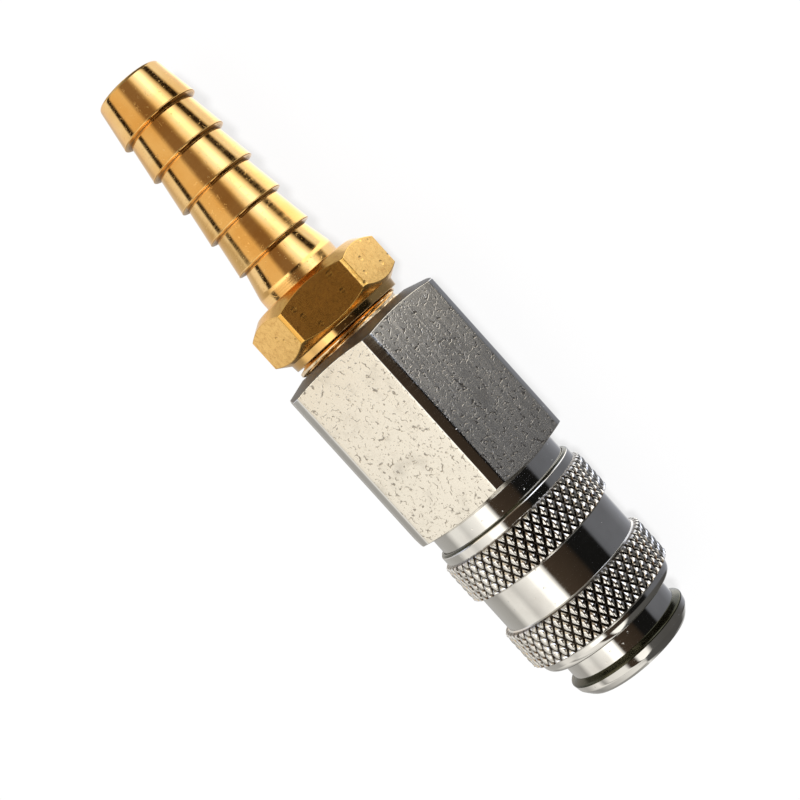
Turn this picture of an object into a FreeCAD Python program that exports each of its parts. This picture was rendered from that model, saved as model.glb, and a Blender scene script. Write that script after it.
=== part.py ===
"""Hose tail coupling: a barbed hose tail screwed into a ball-lock coupler.

The axis of the coupling is the X axis, and +X points out of the socket that takes the plug.
The origin is on the axis where the straight guide bore begins, just inside its mouth chamfer.
The hexagon body lies on one of its flats, so -Z points down. All sizes are in millimetres.
"""
import FreeCAD, Part
import math
import os

# Hexagon body
flat_past_knurl = 0.2
corner_past_flat = 1.1
body_hex_length = 20.26
mouth_rim_width = 0.17
front_face_past_neck = 0.1
body_chamfer_angle = 16.0
neck_length = 4.27
neck_edge = 0.3

# Screw joints, drawn as plain cylinders at their pitch diameters
tail_thread_dia = 12.3
tail_thread_crest_height = 0.43
tail_thread_depth = 11.03
tube_thread_depth = 8.5

# Passage inside the hexagon body
guide_seat_width = 1.0
air_passage_length = 2.0
gasket_thickness = 1.0
gasket_seat_width = 1.4

# Socket tube
nose_past_ball = 0.15
nose_shoulder_height = 0.45
socket_reach = 22.27
end_chamfer = 0.3
land_length = 0.3
rim_height = 0.7
rim_cone_length = 1.35
rim_cone_front_height = 0.05
nose_shoulder_past_ball = 0.6
valve_seat_cone_width = 1.4
plug_stop_width = 1.0
valve_seat_bore_length = 1.2
guide_bore_step = 0.4
guide_bore_length = 7.2
plug_bore_dia = 8.2
socket_depth = 17.0
mouth_chamfer = 0.4

# Locking balls
ball_dia = 2.8
ball_count = 4
ball_first_angle = 45.0
ball_reach_into_bore = 0.6
ball_from_bore_mouth = 9.0
ball_hole_taper = 10.0
ball_play = 0.03

# Release sleeve
sleeve_stroke = 1.87
sleeve_stop_gap = 0.03
sleeve_length = 15.87
sleeve_wall = 0.75
sleeve_rear_height = 0.2
sleeve_rear_edge_rise = 0.2
sleeve_rear_edge_length = 0.25
sleeve_front_edge = 0.8
sleeve_front_edge_rise = 0.55
sleeve_running_clearance = 0.05
sleeve_stop_ring_length = 1.0
sleeve_spring_room_width = 1.35
sleeve_neck_guide_step = 0.5
sleeve_neck_guide_spare = 0.2
land_past_ball = 0.3
recess_past_nose = 0.55
front_lip_length = 1.2

# Diamond knurl of the sleeve
knurl_height = 0.7
knurl_depth = 0.42
knurl_count = 51
knurl_half_rows = 5
knurl_band_length = 4.42
knurl_rear_from_sleeve_end = 1.24
knurl_front_from_sleeve_end = 10.15
knurl_end_slope = 0.06
knurl_root_inside = 0.1

# Sleeve spring
sleeve_spring_wire = 0.65
sleeve_spring_turns = 4.0
spring_seat_gap = 0.02
wire_sides = 8
wire_steps_per_turn = 20

# Shut-off valve
poppet_stroke = 2.4
poppet_nose_clearance = 0.25
poppet_notch_width = 1.3
poppet_notch_depth = 1.5
poppet_head_clearance = 0.5
poppet_head_thickness = 1.0
poppet_groove_depth = 0.35
poppet_stem_dia = 2.8
poppet_stem_into_guide = 0.8
poppet_edge = 0.25
poppet_seal_section = 1.1
seal_seat_gap = 0.02
valve_spring_wire = 0.6
valve_spring_inside_head = 1.0
valve_spring_turns = 6.0
guide_thickness = 1.0
guide_rim_clearance = 0.05
guide_bore_clearance = 0.05
guide_hole_count = 6
guide_hole_dia = 0.9
guide_web = 0.25

# Seals
plug_seal_section = 1.2
plug_seal_bite = 0.12
plug_seal_groove_width = 1.6
plug_seal_from_bore_end = 2.6

# Hose tail
tail_flat_past_collar = 0.45
tail_corner_past_flat = 0.95
tail_hex_turn = -25.6
tail_hex_length = 5.55
tail_rear_face_inside_flat = 0.95
tail_hex_chamfer_angle = 33.0
tail_hex_gap = 1.72
tail_collar_under_thread = 0.03
tail_collar_length = 0.9
tail_thread_end_chamfer = 0.6
tail_screw_length = 9.87
tail_wall = 1.11
tail_bore_edge = 0.4
tail_spigot_past_barb = 0.03
tail_spigot_length = 1.3
barb_count = 5
barb_pitch = 4.15
barb_dia = 9.04
barb_depth = 0.66
barb_round_length = 0.85
barb_round_rise = 0.06
barb_back_length = 0.35
barb_last_to_spigot = 3.03
first_barb_length = 4.6
tail_tip_inside_root = 0.085
tail_tip_edge = 0.4

# Diameters of the socket tube and what it holds, from the plug bore and the balls outwards
guide_bore_dia = plug_bore_dia + 2 * guide_bore_step
valve_seat_bore_dia = plug_bore_dia - 2 * plug_stop_width
tube_chamber_dia = valve_seat_bore_dia + 2 * valve_seat_cone_width
nose_dia = plug_bore_dia + 2 * (ball_dia - ball_reach_into_bore + nose_past_ball)
end_face_dia = nose_dia - 2 * end_chamfer
rim_dia = nose_dia + 2 * rim_height
rim_cone_front_dia = nose_dia + 2 * rim_cone_front_height
tube_thread_dia = nose_dia - 2 * nose_shoulder_height
plug_seal_inner_dia = plug_bore_dia - 2 * plug_seal_bite
plug_seal_groove_dia = plug_seal_inner_dia + 2 * (plug_seal_section + seal_seat_gap)

# Diameters of the valve
poppet_head_dia = tube_chamber_dia - 2 * poppet_head_clearance
poppet_nose_dia = valve_seat_bore_dia - 2 * poppet_nose_clearance
poppet_groove_dia = poppet_nose_dia - 2 * poppet_groove_depth
valve_spring_mean_dia = poppet_head_dia - 2 * valve_spring_inside_head
valve_chamber_dia = tube_thread_dia - 2 * gasket_seat_width
air_passage_dia = valve_chamber_dia - 2 * guide_seat_width
guide_stem_bore_dia = poppet_stem_dia + 2 * guide_bore_clearance
guide_hole_circle_dia = guide_stem_bore_dia + guide_hole_dia + 2 * guide_web

# Diameters of the sleeve, over the tube and its spring
sleeve_spring_room_dia = tube_thread_dia + 2 * sleeve_spring_room_width
sleeve_spring_mean_dia = (tube_thread_dia + sleeve_spring_room_dia) / 2
sleeve_neck_guide_dia = sleeve_spring_room_dia + 2 * sleeve_neck_guide_step
sleeve_waist_dia = sleeve_spring_room_dia + 2 * sleeve_wall
sleeve_rear_dia = sleeve_waist_dia + 2 * sleeve_rear_height
sleeve_rear_edge_dia = sleeve_rear_dia - 2 * sleeve_rear_edge_rise
recess_dia = nose_dia + 2 * recess_past_nose
knurl_dia = sleeve_waist_dia + 2 * knurl_height

# Diameters of the hexagon body: the neck fits the sleeve, and the flats stand proud of the knurl
neck_dia = sleeve_neck_guide_dia - 2 * sleeve_running_clearance
body_front_face_dia = neck_dia + 2 * front_face_past_neck
body_hex_flats = knurl_dia + 2 * flat_past_knurl
body_hex_corner_dia = body_hex_flats + 2 * corner_past_flat
tail_thread_major_dia = tail_thread_dia + 2 * tail_thread_crest_height
body_rear_face_dia = tail_thread_major_dia + 2 * mouth_rim_width

# Diameters of the hose tail, from its thread and its barbs
tail_collar_dia = tail_thread_major_dia - 2 * tail_collar_under_thread
tail_hex_flats = tail_collar_dia + 2 * tail_flat_past_collar
tail_hex_corner_dia = tail_hex_flats + 2 * tail_corner_past_flat
tail_hex_rear_face_dia = tail_hex_flats - 2 * tail_rear_face_inside_flat
tail_hex_front_face_dia = tail_collar_dia
tail_spigot_dia = barb_dia + 2 * tail_spigot_past_barb
barb_root_dia = barb_dia - 2 * barb_depth
tail_bore_dia = barb_root_dia - 2 * tail_wall
tail_tip_dia = barb_root_dia - 2 * tail_tip_inside_root

# Stations along the axis
mouth_x = mouth_chamfer
body_front_x = mouth_x - socket_reach
body_rear_x = body_front_x - body_hex_length
neck_end_x = body_front_x + neck_length
sleeve_rear_x = body_front_x + sleeve_stroke + sleeve_stop_gap
sleeve_front_x = sleeve_rear_x + sleeve_length
ball_x = -ball_from_bore_mouth
nose_shoulder_x = ball_x - ball_dia / 2 - nose_shoulder_past_ball
bore_end_x = -socket_depth
valve_seat_x = bore_end_x - valve_seat_bore_length
tube_seat_x = neck_end_x - tube_thread_depth
tube_rear_x = tube_seat_x + gasket_thickness
guide_rear_x = body_rear_x + tail_thread_depth + air_passage_length
guide_front_x = guide_rear_x + guide_thickness

X_AXIS = FreeCAD.Vector(1, 0, 0)
ORIGIN = FreeCAD.Vector(0, 0, 0)


def at(x, radius):
    """A point of a turned profile, at a place along the axis and a radius."""
    return FreeCAD.Vector(x, 0, radius)


def turned(start, *steps):
    """A solid of revolution about the axis.

    The profile starts at one (x, radius) point. Each step is the next point, for a straight
    side, or a pair of points, for an arc through the first of them to the second. The last
    point is joined to the start.
    """
    edges = []
    here = at(*start)
    for step in steps + (start,):
        if isinstance(step[0], tuple):
            middle, end = at(*step[0]), at(*step[1])
            edges.append(Part.Arc(here, middle, end).toShape())
        else:
            end = at(*step)
            edges.append(Part.makeLine(here, end))
        here = end
    face = Part.Face(Part.Wire(edges))
    return face.revolve(ORIGIN, X_AXIS, 360)


def rod(x_from, x_to, diameter):
    """A cylinder on the axis."""
    return Part.makeCylinder(diameter / 2, x_to - x_from, at(x_from, 0), X_AXIS)


def hexagon_bar(x_from, x_to, across_flats, turn=0.0):
    """A hexagon bar on the axis, with one flat facing straight up before it is turned."""
    corner = across_flats / math.sqrt(3)
    points = []
    for index in range(7):
        angle = math.radians(60 * index + turn)
        points.append(FreeCAD.Vector(x_from, corner * math.cos(angle), corner * math.sin(angle)))
    face = Part.Face(Part.makePolygon(points))
    return face.extrude(X_AXIS * (x_to - x_from))


def ring_seal(x_centre, inner_dia, section):
    """A round-section rubber ring about the axis."""
    return Part.makeTorus((inner_dia + section) / 2, section / 2, at(x_centre, 0), X_AXIS)


def triangle(first, second, third):
    """A flat three-cornered face."""
    return Part.Face(Part.makePolygon([first, second, third, first]))


def quad(first, second, third, fourth):
    """A flat four-cornered face."""
    return Part.Face(Part.makePolygon([first, second, third, fourth, first]))


def sewn(faces):
    """One solid from flat faces that close it."""
    shell = Part.makeShell(faces)
    shell.sewShape()
    solid = Part.makeSolid(shell)
    if solid.Volume < 0:
        solid.reverse()
    return solid


def coil_section(centre_x, angle, mean_dia, wire):
    """The corners of a spring's wire section, in the plane through the axis at an angle."""
    outward = FreeCAD.Vector(0, math.cos(angle), math.sin(angle))
    corners = []
    for side in range(wire_sides):
        around = 2 * math.pi * side / wire_sides
        radius = mean_dia / 2 + wire / 2 * math.cos(around)
        corners.append(outward * radius + X_AXIS * (centre_x + wire / 2 * math.sin(around)))
    return corners


def coil_spring(x_from, x_to, mean_dia, wire, turns):
    """An open coil of wire that fills the stretch between two places on the axis.

    The wire is drawn with flat facets: a many-sided section is carried along a helix.
    """
    rise = x_to - x_from - wire
    steps = round(turns * wire_steps_per_turn)
    sections = []
    for step in range(steps + 1):
        share = step / steps
        angle = 2 * math.pi * turns * share
        sections.append(coil_section(x_from + wire / 2 + rise * share, angle, mean_dia, wire))
    faces = []
    for here, there in zip(sections, sections[1:]):
        for side in range(wire_sides):
            after = (side + 1) % wire_sides
            faces.append(triangle(here[side], here[after], there[side]))
            faces.append(triangle(here[after], there[after], there[side]))
    for end in (sections[0], sections[-1]):
        faces.append(Part.Face(Part.makePolygon(end + end[:1])))
    return sewn(faces)


def chamfer_length(outer_dia, face_dia, angle):
    """The length along the axis of a turned chamfer from a face to an outer diameter."""
    return (outer_dia - face_dia) / 2 * math.tan(math.radians(angle))


def make_hex_body():
    """The hexagon body: turned chamfers and corners, a neck, and the stepped bore inside."""
    corner = body_hex_corner_dia / 2
    rear_slope = chamfer_length(body_hex_corner_dia, body_rear_face_dia, body_chamfer_angle)
    front_slope = chamfer_length(body_hex_corner_dia, body_front_face_dia, body_chamfer_angle)
    turned_blank = turned(
        (body_rear_x, 0),
        (body_rear_x, body_rear_face_dia / 2),
        (body_rear_x + rear_slope, corner),
        (body_front_x - front_slope, corner),
        (body_front_x, body_front_face_dia / 2),
        (body_front_x, 0))
    neck = turned(
        (body_front_x, 0),
        (body_front_x, neck_dia / 2),
        (neck_end_x - neck_edge, neck_dia / 2),
        (neck_end_x, neck_dia / 2 - neck_edge),
        (neck_end_x, 0))
    thread_end_x = body_rear_x + tail_thread_depth
    lead_in = (tail_thread_major_dia - tail_thread_dia) / 2
    bore = turned(
        (body_rear_x, 0),
        (body_rear_x, tail_thread_major_dia / 2),
        (body_rear_x + lead_in, tail_thread_dia / 2),
        (thread_end_x, tail_thread_dia / 2),
        (thread_end_x, air_passage_dia / 2),
        (guide_rear_x, air_passage_dia / 2),
        (guide_rear_x, valve_chamber_dia / 2),
        (tube_seat_x, valve_chamber_dia / 2),
        (tube_seat_x, tube_thread_dia / 2),
        (neck_end_x, tube_thread_dia / 2),
        (neck_end_x, 0))
    hexagon = hexagon_bar(body_rear_x, body_front_x, body_hex_flats)
    return hexagon.common(turned_blank).fuse(neck).cut(bore).removeSplitter()


def make_body_gasket():
    """The flat ring that the tube presses on the shoulder inside the hexagon body."""
    ring = rod(tube_seat_x, tube_rear_x, tube_thread_dia)
    return ring.cut(rod(tube_seat_x, tube_rear_x, valve_chamber_dia))


def ball_directions():
    """The angles of the locking balls about the axis, counted from +Y towards +Z."""
    return [ball_first_angle + 360 / ball_count * index for index in range(ball_count)]


def ball_hole(angle):
    """The tapered hole of one ball, narrow at the plug bore so the ball can't fall in."""
    taper = math.radians(ball_hole_taper)
    radius = ball_dia / 2
    ball_height = plug_bore_dia / 2 - ball_reach_into_bore + radius
    touch_height = ball_height - radius * math.sin(taper)
    touch_radius = radius * math.cos(taper) + ball_play

    def width(height):
        return touch_radius + (height - touch_height) * math.tan(taper)

    low, high = plug_bore_dia / 4, nose_dia / 2 + 1.0
    hole = Part.makeCone(width(low), width(high), high - low, at(ball_x, low))
    hole.rotate(ORIGIN, X_AXIS, angle - 90)
    return hole


def make_socket_body():
    """The tube with the nose, its rim, the plug bore, the seal groove and the valve seat."""
    nose, barrel = nose_dia / 2, tube_thread_dia / 2
    land_rear_x = mouth_x - end_chamfer - land_length
    rim_x = land_rear_x - rim_cone_length
    seat_slope = (tube_chamber_dia - valve_seat_bore_dia) / 2
    outside = turned(
        (tube_rear_x, 0),
        (tube_rear_x, barrel),
        (nose_shoulder_x, barrel),
        (nose_shoulder_x, nose),
        (rim_x, nose),
        (rim_x, rim_dia / 2),
        (land_rear_x, rim_cone_front_dia / 2),
        (land_rear_x, nose),
        (mouth_x - end_chamfer, nose),
        (mouth_x, end_face_dia / 2),
        (mouth_x, 0))
    inside = turned(
        (tube_rear_x, 0),
        (tube_rear_x, tube_chamber_dia / 2),
        (valve_seat_x - seat_slope, tube_chamber_dia / 2),
        (valve_seat_x, valve_seat_bore_dia / 2),
        (bore_end_x, valve_seat_bore_dia / 2),
        (bore_end_x, plug_bore_dia / 2),
        (-guide_bore_length, plug_bore_dia / 2),
        (-guide_bore_length, guide_bore_dia / 2),
        (0, guide_bore_dia / 2),
        (mouth_x, guide_bore_dia / 2 + mouth_chamfer),
        (mouth_x, 0))
    groove_x = bore_end_x + plug_seal_from_bore_end
    groove = rod(groove_x, groove_x + plug_seal_groove_width, plug_seal_groove_dia)
    holes = [ball_hole(angle) for angle in ball_directions()]
    return outside.cut([inside, groove] + holes)


def make_plug_seal():
    """The rubber ring in the groove of the plug bore."""
    middle = bore_end_x + plug_seal_from_bore_end + plug_seal_groove_width / 2
    return ring_seal(middle, plug_seal_inner_dia, plug_seal_section)


def make_locking_ball(angle):
    """One steel ball at rest, reaching into the plug bore through its tapered hole."""
    height = plug_bore_dia / 2 - ball_reach_into_bore + ball_dia / 2
    ball = Part.makeSphere(ball_dia / 2, at(ball_x, height))
    ball.rotate(ORIGIN, X_AXIS, angle - 90)
    return ball


def knurl_point(start_x, row, column):
    """A corner of the knurl: a peak where row and column differ in parity, else a valley."""
    last = row in (0, knurl_half_rows)
    peak = (row + column) % 2 == 1 and not last
    radius = knurl_dia / 2 - (0 if peak else knurl_depth)
    angle = math.pi * column / knurl_count
    usable = knurl_band_length - 2 * knurl_end_slope
    x = start_x + knurl_end_slope + usable * row / knurl_half_rows
    return FreeCAD.Vector(x, radius * math.cos(angle), radius * math.sin(angle))


def knurl_ring_point(x, column, radius):
    """A corner of the ring under the knurl, in line with a column of the knurl."""
    angle = math.pi * column / knurl_count
    return FreeCAD.Vector(x, radius * math.cos(angle), radius * math.sin(angle))


def knurl_cell(start_x, row, column):
    """The two triangles between four corners, split along the valley that crosses them."""
    near_left = knurl_point(start_x, row, column)
    near_right = knurl_point(start_x, row, column + 1)
    far_left = knurl_point(start_x, row + 1, column)
    far_right = knurl_point(start_x, row + 1, column + 1)
    if (row + column) % 2 == 0:
        return [triangle(near_left, near_right, far_right), triangle(near_left, far_right, far_left)]
    return [triangle(near_right, far_right, far_left), triangle(near_right, far_left, near_left)]


def knurl_band(start_x):
    """A ring covered in diamond points, made of flat faces and sewn into one solid."""
    inner = sleeve_waist_dia / 2 - knurl_root_inside
    root = knurl_dia / 2 - knurl_depth
    end_x = start_x + knurl_band_length
    faces = []
    for column in range(2 * knurl_count):
        for row in range(knurl_half_rows):
            faces.extend(knurl_cell(start_x, row, column))
        for face_x, edge_row in ((start_x, 0), (end_x, knurl_half_rows)):
            low_left = knurl_ring_point(face_x, column, inner)
            low_right = knurl_ring_point(face_x, column + 1, inner)
            shoulder_left = knurl_ring_point(face_x, column, root - knurl_end_slope)
            shoulder_right = knurl_ring_point(face_x, column + 1, root - knurl_end_slope)
            edge_left = knurl_point(start_x, edge_row, column)
            edge_right = knurl_point(start_x, edge_row, column + 1)
            faces.append(quad(low_left, low_right, shoulder_right, shoulder_left))
            faces.append(quad(shoulder_left, shoulder_right, edge_right, edge_left))
        faces.append(quad(
            knurl_ring_point(start_x, column, inner), knurl_ring_point(start_x, column + 1, inner),
            knurl_ring_point(end_x, column + 1, inner), knurl_ring_point(end_x, column, inner)))
    return sewn(faces)


def make_knurled_sleeve():
    """The release sleeve: stepped bore, waist, edges and two knurled bands."""
    neck_guide = sleeve_neck_guide_dia / 2
    nose_guide = nose_dia / 2 + sleeve_running_clearance
    stop_ring = tube_thread_dia / 2 + sleeve_running_clearance
    waist = sleeve_waist_dia / 2
    room_rear_x = neck_end_x + sleeve_stroke + sleeve_neck_guide_spare
    room_front_x = nose_shoulder_x - sleeve_stop_ring_length
    land_end_x = ball_x + land_past_ball
    recess_rise = recess_dia / 2 - nose_guide
    lip_x = sleeve_front_x - front_lip_length
    edge_x = sleeve_front_x - sleeve_front_edge
    edge_radius = waist - sleeve_front_edge_rise
    bulge = math.sqrt(0.5)
    rear_band_x = sleeve_rear_x + knurl_rear_from_sleeve_end
    edge_middle = (edge_x + sleeve_front_edge * bulge, edge_radius + sleeve_front_edge_rise * bulge)
    sleeve = turned(
        (sleeve_rear_x, neck_guide),
        (sleeve_rear_x, sleeve_rear_edge_dia / 2),
        (sleeve_rear_x + sleeve_rear_edge_length, sleeve_rear_dia / 2),
        (rear_band_x, sleeve_rear_dia / 2),
        (rear_band_x, waist),
        (edge_x, waist),
        (edge_middle, (sleeve_front_x, edge_radius)),
        (sleeve_front_x, nose_guide),
        (lip_x, nose_guide),
        (lip_x, recess_dia / 2),
        (land_end_x + recess_rise, recess_dia / 2),
        (land_end_x, nose_guide),
        (nose_shoulder_x, nose_guide),
        (nose_shoulder_x, stop_ring),
        (room_front_x, stop_ring),
        (room_front_x, sleeve_spring_room_dia / 2),
        (room_rear_x, sleeve_spring_room_dia / 2),
        (room_rear_x, neck_guide))
    bands = [knurl_band(rear_band_x), knurl_band(sleeve_rear_x + knurl_front_from_sleeve_end)]
    return sleeve.fuse(bands)


def make_sleeve_spring():
    """The coil spring between the neck of the body and the stop ring of the sleeve."""
    front_x = nose_shoulder_x - sleeve_stop_ring_length
    return coil_spring(neck_end_x + spring_seat_gap, front_x - spring_seat_gap,
                       sleeve_spring_mean_dia, sleeve_spring_wire, sleeve_spring_turns)


def poppet_seal_place():
    """The places of the poppet's seal and of its head, worked out from the seat's cone.

    The seal rests on the groove's floor and just clears the cone, which slopes at 45 degrees.
    """
    mean = poppet_groove_dia / 2 + seal_seat_gap + poppet_seal_section / 2
    clear = poppet_seal_section / 2 + seal_seat_gap
    seal_x = valve_seat_x + valve_seat_bore_dia / 2 - mean - clear * math.sqrt(2)
    head_front_x = seal_x - clear
    return seal_x, head_front_x


def make_valve_poppet():
    """The poppet: a notched nose, a groove for its seal, a head and a long stem."""
    seal_x, head_front_x = poppet_seal_place()
    nose_x = bore_end_x + poppet_stroke
    head_rear_x = head_front_x - poppet_head_thickness
    groove_end_x = seal_x + poppet_seal_section / 2 + seal_seat_gap
    stem_x = guide_front_x - poppet_stem_into_guide
    poppet = turned(
        (stem_x, 0),
        (stem_x, poppet_stem_dia / 2 - poppet_edge),
        (stem_x + poppet_edge, poppet_stem_dia / 2),
        (head_rear_x, poppet_stem_dia / 2),
        (head_rear_x, poppet_head_dia / 2),
        (head_front_x, poppet_head_dia / 2),
        (head_front_x, poppet_groove_dia / 2),
        (groove_end_x, poppet_groove_dia / 2),
        (groove_end_x, poppet_nose_dia / 2),
        (nose_x - poppet_edge, poppet_nose_dia / 2),
        (nose_x, poppet_nose_dia / 2 - poppet_edge),
        (nose_x, 0))
    half = poppet_notch_width / 2
    notch = Part.makeBox(poppet_notch_depth, poppet_nose_dia, poppet_notch_width,
                         FreeCAD.Vector(nose_x - poppet_notch_depth, -poppet_nose_dia / 2, -half))
    crossing = notch.copy()
    crossing.rotate(ORIGIN, X_AXIS, 90)
    return poppet.cut([notch, crossing])


def make_poppet_seal():
    """The rubber ring on the poppet, against the cone of the valve seat."""
    seal_x, _ = poppet_seal_place()
    return ring_seal(seal_x, poppet_groove_dia + 2 * seal_seat_gap, poppet_seal_section)


def make_valve_spring():
    """The coil spring between the guide disc and the poppet's head."""
    _, head_front_x = poppet_seal_place()
    head_rear_x = head_front_x - poppet_head_thickness
    return coil_spring(guide_front_x + spring_seat_gap, head_rear_x - spring_seat_gap,
                       valve_spring_mean_dia, valve_spring_wire, valve_spring_turns)


def make_spring_seat():
    """The drilled disc that carries the valve spring and guides the poppet's stem."""
    disc = rod(guide_rear_x, guide_front_x, valve_chamber_dia - 2 * guide_rim_clearance)
    stem_hole = rod(guide_rear_x, guide_front_x, guide_stem_bore_dia)
    holes = [stem_hole]
    for index in range(guide_hole_count):
        hole = Part.makeCylinder(guide_hole_dia / 2, guide_thickness,
                                 at(guide_rear_x, guide_hole_circle_dia / 2), X_AXIS)
        hole.rotate(ORIGIN, X_AXIS, 360 / guide_hole_count * index)
        holes.append(hole)
    return disc.cut(holes)


def barb_profile():
    """The steps of the barbed stretch, from the tip to the spigot by the hexagon.

    Each barb is a cone that grows away from the tip, a rounded crest and a short back.
    """
    root, crest = barb_root_dia / 2, barb_dia / 2
    spigot_x = body_rear_x - tail_hex_gap - tail_hex_length - tail_spigot_length
    last_crest_x = spigot_x - barb_last_to_spigot
    steps = []
    for index in range(barb_count):
        crest_x = last_crest_x - barb_pitch * (barb_count - 1 - index)
        shoulder = crest - barb_round_rise
        steps.append((crest_x - barb_round_length, shoulder))
        steps.append(((crest_x - barb_round_length / 2, crest), (crest_x, shoulder)))
        steps.append((crest_x + barb_back_length, root))
    return steps, last_crest_x, spigot_x


def make_hose_tail():
    """The brass hose tail: barbs, spigot, hexagon, collar and the end that is screwed in."""
    steps, last_crest_x, spigot_x = barb_profile()
    tip_x = last_crest_x - barb_pitch * (barb_count - 1) - first_barb_length
    hex_rear_x = spigot_x + tail_spigot_length
    hex_front_x = hex_rear_x + tail_hex_length
    collar_end_x = hex_front_x + tail_collar_length
    thread_end_x = hex_front_x + tail_screw_length
    bore, tip = tail_bore_dia / 2, tail_tip_dia / 2
    thread, spigot = tail_thread_dia / 2, tail_spigot_dia / 2
    stem = turned(
        (tip_x, bore + tail_bore_edge),
        (tip_x, tip - tail_tip_edge),
        (tip_x + tail_tip_edge, tip),
        *steps,
        (spigot_x, spigot),
        (hex_rear_x, spigot),
        (hex_front_x, spigot),
        (hex_front_x, tail_collar_dia / 2),
        (collar_end_x, tail_collar_dia / 2),
        (collar_end_x, thread),
        (thread_end_x - tail_thread_end_chamfer, thread),
        (thread_end_x, thread - tail_thread_end_chamfer),
        (thread_end_x, bore),
        (tip_x + tail_bore_edge, bore))
    corner = tail_hex_corner_dia / 2
    rear_slope = chamfer_length(tail_hex_corner_dia, tail_hex_rear_face_dia, tail_hex_chamfer_angle)
    front_slope = chamfer_length(tail_hex_corner_dia, tail_hex_front_face_dia, tail_hex_chamfer_angle)
    blank = turned(
        (hex_rear_x, bore),
        (hex_rear_x, tail_hex_rear_face_dia / 2),
        (hex_rear_x + rear_slope, corner),
        (hex_front_x - front_slope, corner),
        (hex_front_x, tail_hex_front_face_dia / 2),
        (hex_front_x, bore))
    hexagon = hexagon_bar(hex_rear_x, hex_front_x, tail_hex_flats, tail_hex_turn)
    return stem.fuse(hexagon.common(blank)).removeSplitter()


def sub_parts():
    """Every sub-part by its name."""
    parts = {
        "hose_tail": make_hose_tail(),
        "hex_body": make_hex_body(),
        "socket_body": make_socket_body(),
        "knurled_sleeve": make_knurled_sleeve(),
        "sleeve_spring": make_sleeve_spring(),
        "body_gasket": make_body_gasket(),
        "plug_seal": make_plug_seal(),
        "valve_poppet": make_valve_poppet(),
        "poppet_seal": make_poppet_seal(),
        "valve_spring": make_valve_spring(),
        "spring_seat": make_spring_seat(),
    }
    for number, angle in enumerate(ball_directions(), start=1):
        parts["locking_ball_%d" % number] = make_locking_ball(angle)
    return parts


def main():
    """Write each sub-part to its own file."""
    os.makedirs("parts", exist_ok=True)
    for name, shape in sub_parts().items():
        shape.exportStep(os.path.join("parts", name + ".step"))
        box = shape.BoundBox
        print("%s valid=%s solids=%d volume=%.2f x=%.2f..%.2f" % (
            name, shape.isValid(), len(shape.Solids), shape.Volume, box.XMin, box.XMax))


main()
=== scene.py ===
"""Hose tail coupling: its visible surfaces, finishes, lamps and camera.

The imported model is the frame. Lengths in the classes are in millimetres and are turned to metres
when a mesh is made. The axis of the coupling is the X axis, and +X points out of the plug socket.
"""
import logging
import math
from dataclasses import dataclass
from enum import Enum
from typing import Callable, Iterable, Optional, Union

import bpy
import numpy as np
from mathutils import Matrix, Vector


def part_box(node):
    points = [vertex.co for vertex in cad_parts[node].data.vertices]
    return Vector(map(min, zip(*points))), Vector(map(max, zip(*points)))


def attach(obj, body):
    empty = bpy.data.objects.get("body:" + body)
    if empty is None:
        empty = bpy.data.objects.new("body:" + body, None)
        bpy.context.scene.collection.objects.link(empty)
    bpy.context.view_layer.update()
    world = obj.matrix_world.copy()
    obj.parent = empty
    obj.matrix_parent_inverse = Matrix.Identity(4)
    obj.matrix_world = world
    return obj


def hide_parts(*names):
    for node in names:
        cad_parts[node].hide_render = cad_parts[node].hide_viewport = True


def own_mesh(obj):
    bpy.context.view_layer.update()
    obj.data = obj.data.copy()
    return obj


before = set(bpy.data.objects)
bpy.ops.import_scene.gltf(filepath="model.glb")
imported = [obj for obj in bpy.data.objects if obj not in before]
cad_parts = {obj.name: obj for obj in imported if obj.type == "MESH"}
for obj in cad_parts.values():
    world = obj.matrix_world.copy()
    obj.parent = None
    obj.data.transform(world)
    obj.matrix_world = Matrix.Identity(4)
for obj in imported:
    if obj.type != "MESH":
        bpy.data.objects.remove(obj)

LOG = logging.getLogger("hose_tail_coupling")
MM = 0.001
Triple = tuple[float, float, float]
Colour = Triple
Socket = bpy.types.NodeSocket
Value = Union[Socket, float, Triple]
Number = Union[float, np.ndarray]

# A softened corner: its rows, how far out its support points lie as a multiple of the cut, and the
# largest share of a side that its cut takes
CORNER_ROWS = 7
SUPPORT = 1.2
LARGEST_SHARE = 0.4

# Columns beside each edge of a hexagon's flat, in degrees from the edge
BESIDE_EDGE = (-0.9, -0.45, -0.2, 0.2, 0.45, 0.9)

# What the camera sees behind the object
PLAIN_WHITE: Colour = (1.0, 1.0, 1.0)

# The radius that stands for a point, in millimetres
POINT = 1e-4

# The angle about the axis of straight up
UP = math.pi / 2


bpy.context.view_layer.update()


class Body(Enum):
    """The moving bodies that the scene's own pieces ride on."""

    COUPLER = "coupler_body"
    SPRING = "spring_coil"
    SLEEVE = "release_sleeve"


class Slot(Enum):
    """The record's material slots of the scene's own pieces."""

    BRASS_TAIL = "brass_tail"
    PLATED_HEXAGON = "plated_hexagon"
    BRIGHT_PLATE = "bright_plate"
    KNURLED_PLATE = "knurled_plate"
    SPRING_WIRE = "spring_wire"


def node_box(node: str) -> tuple[np.ndarray, np.ndarray]:
    """The lowest and highest corner of a solid of the frame, in millimetres."""
    low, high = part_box(node)
    return np.array(low) / MM, np.array(high) / MM


# Surfaces


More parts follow.
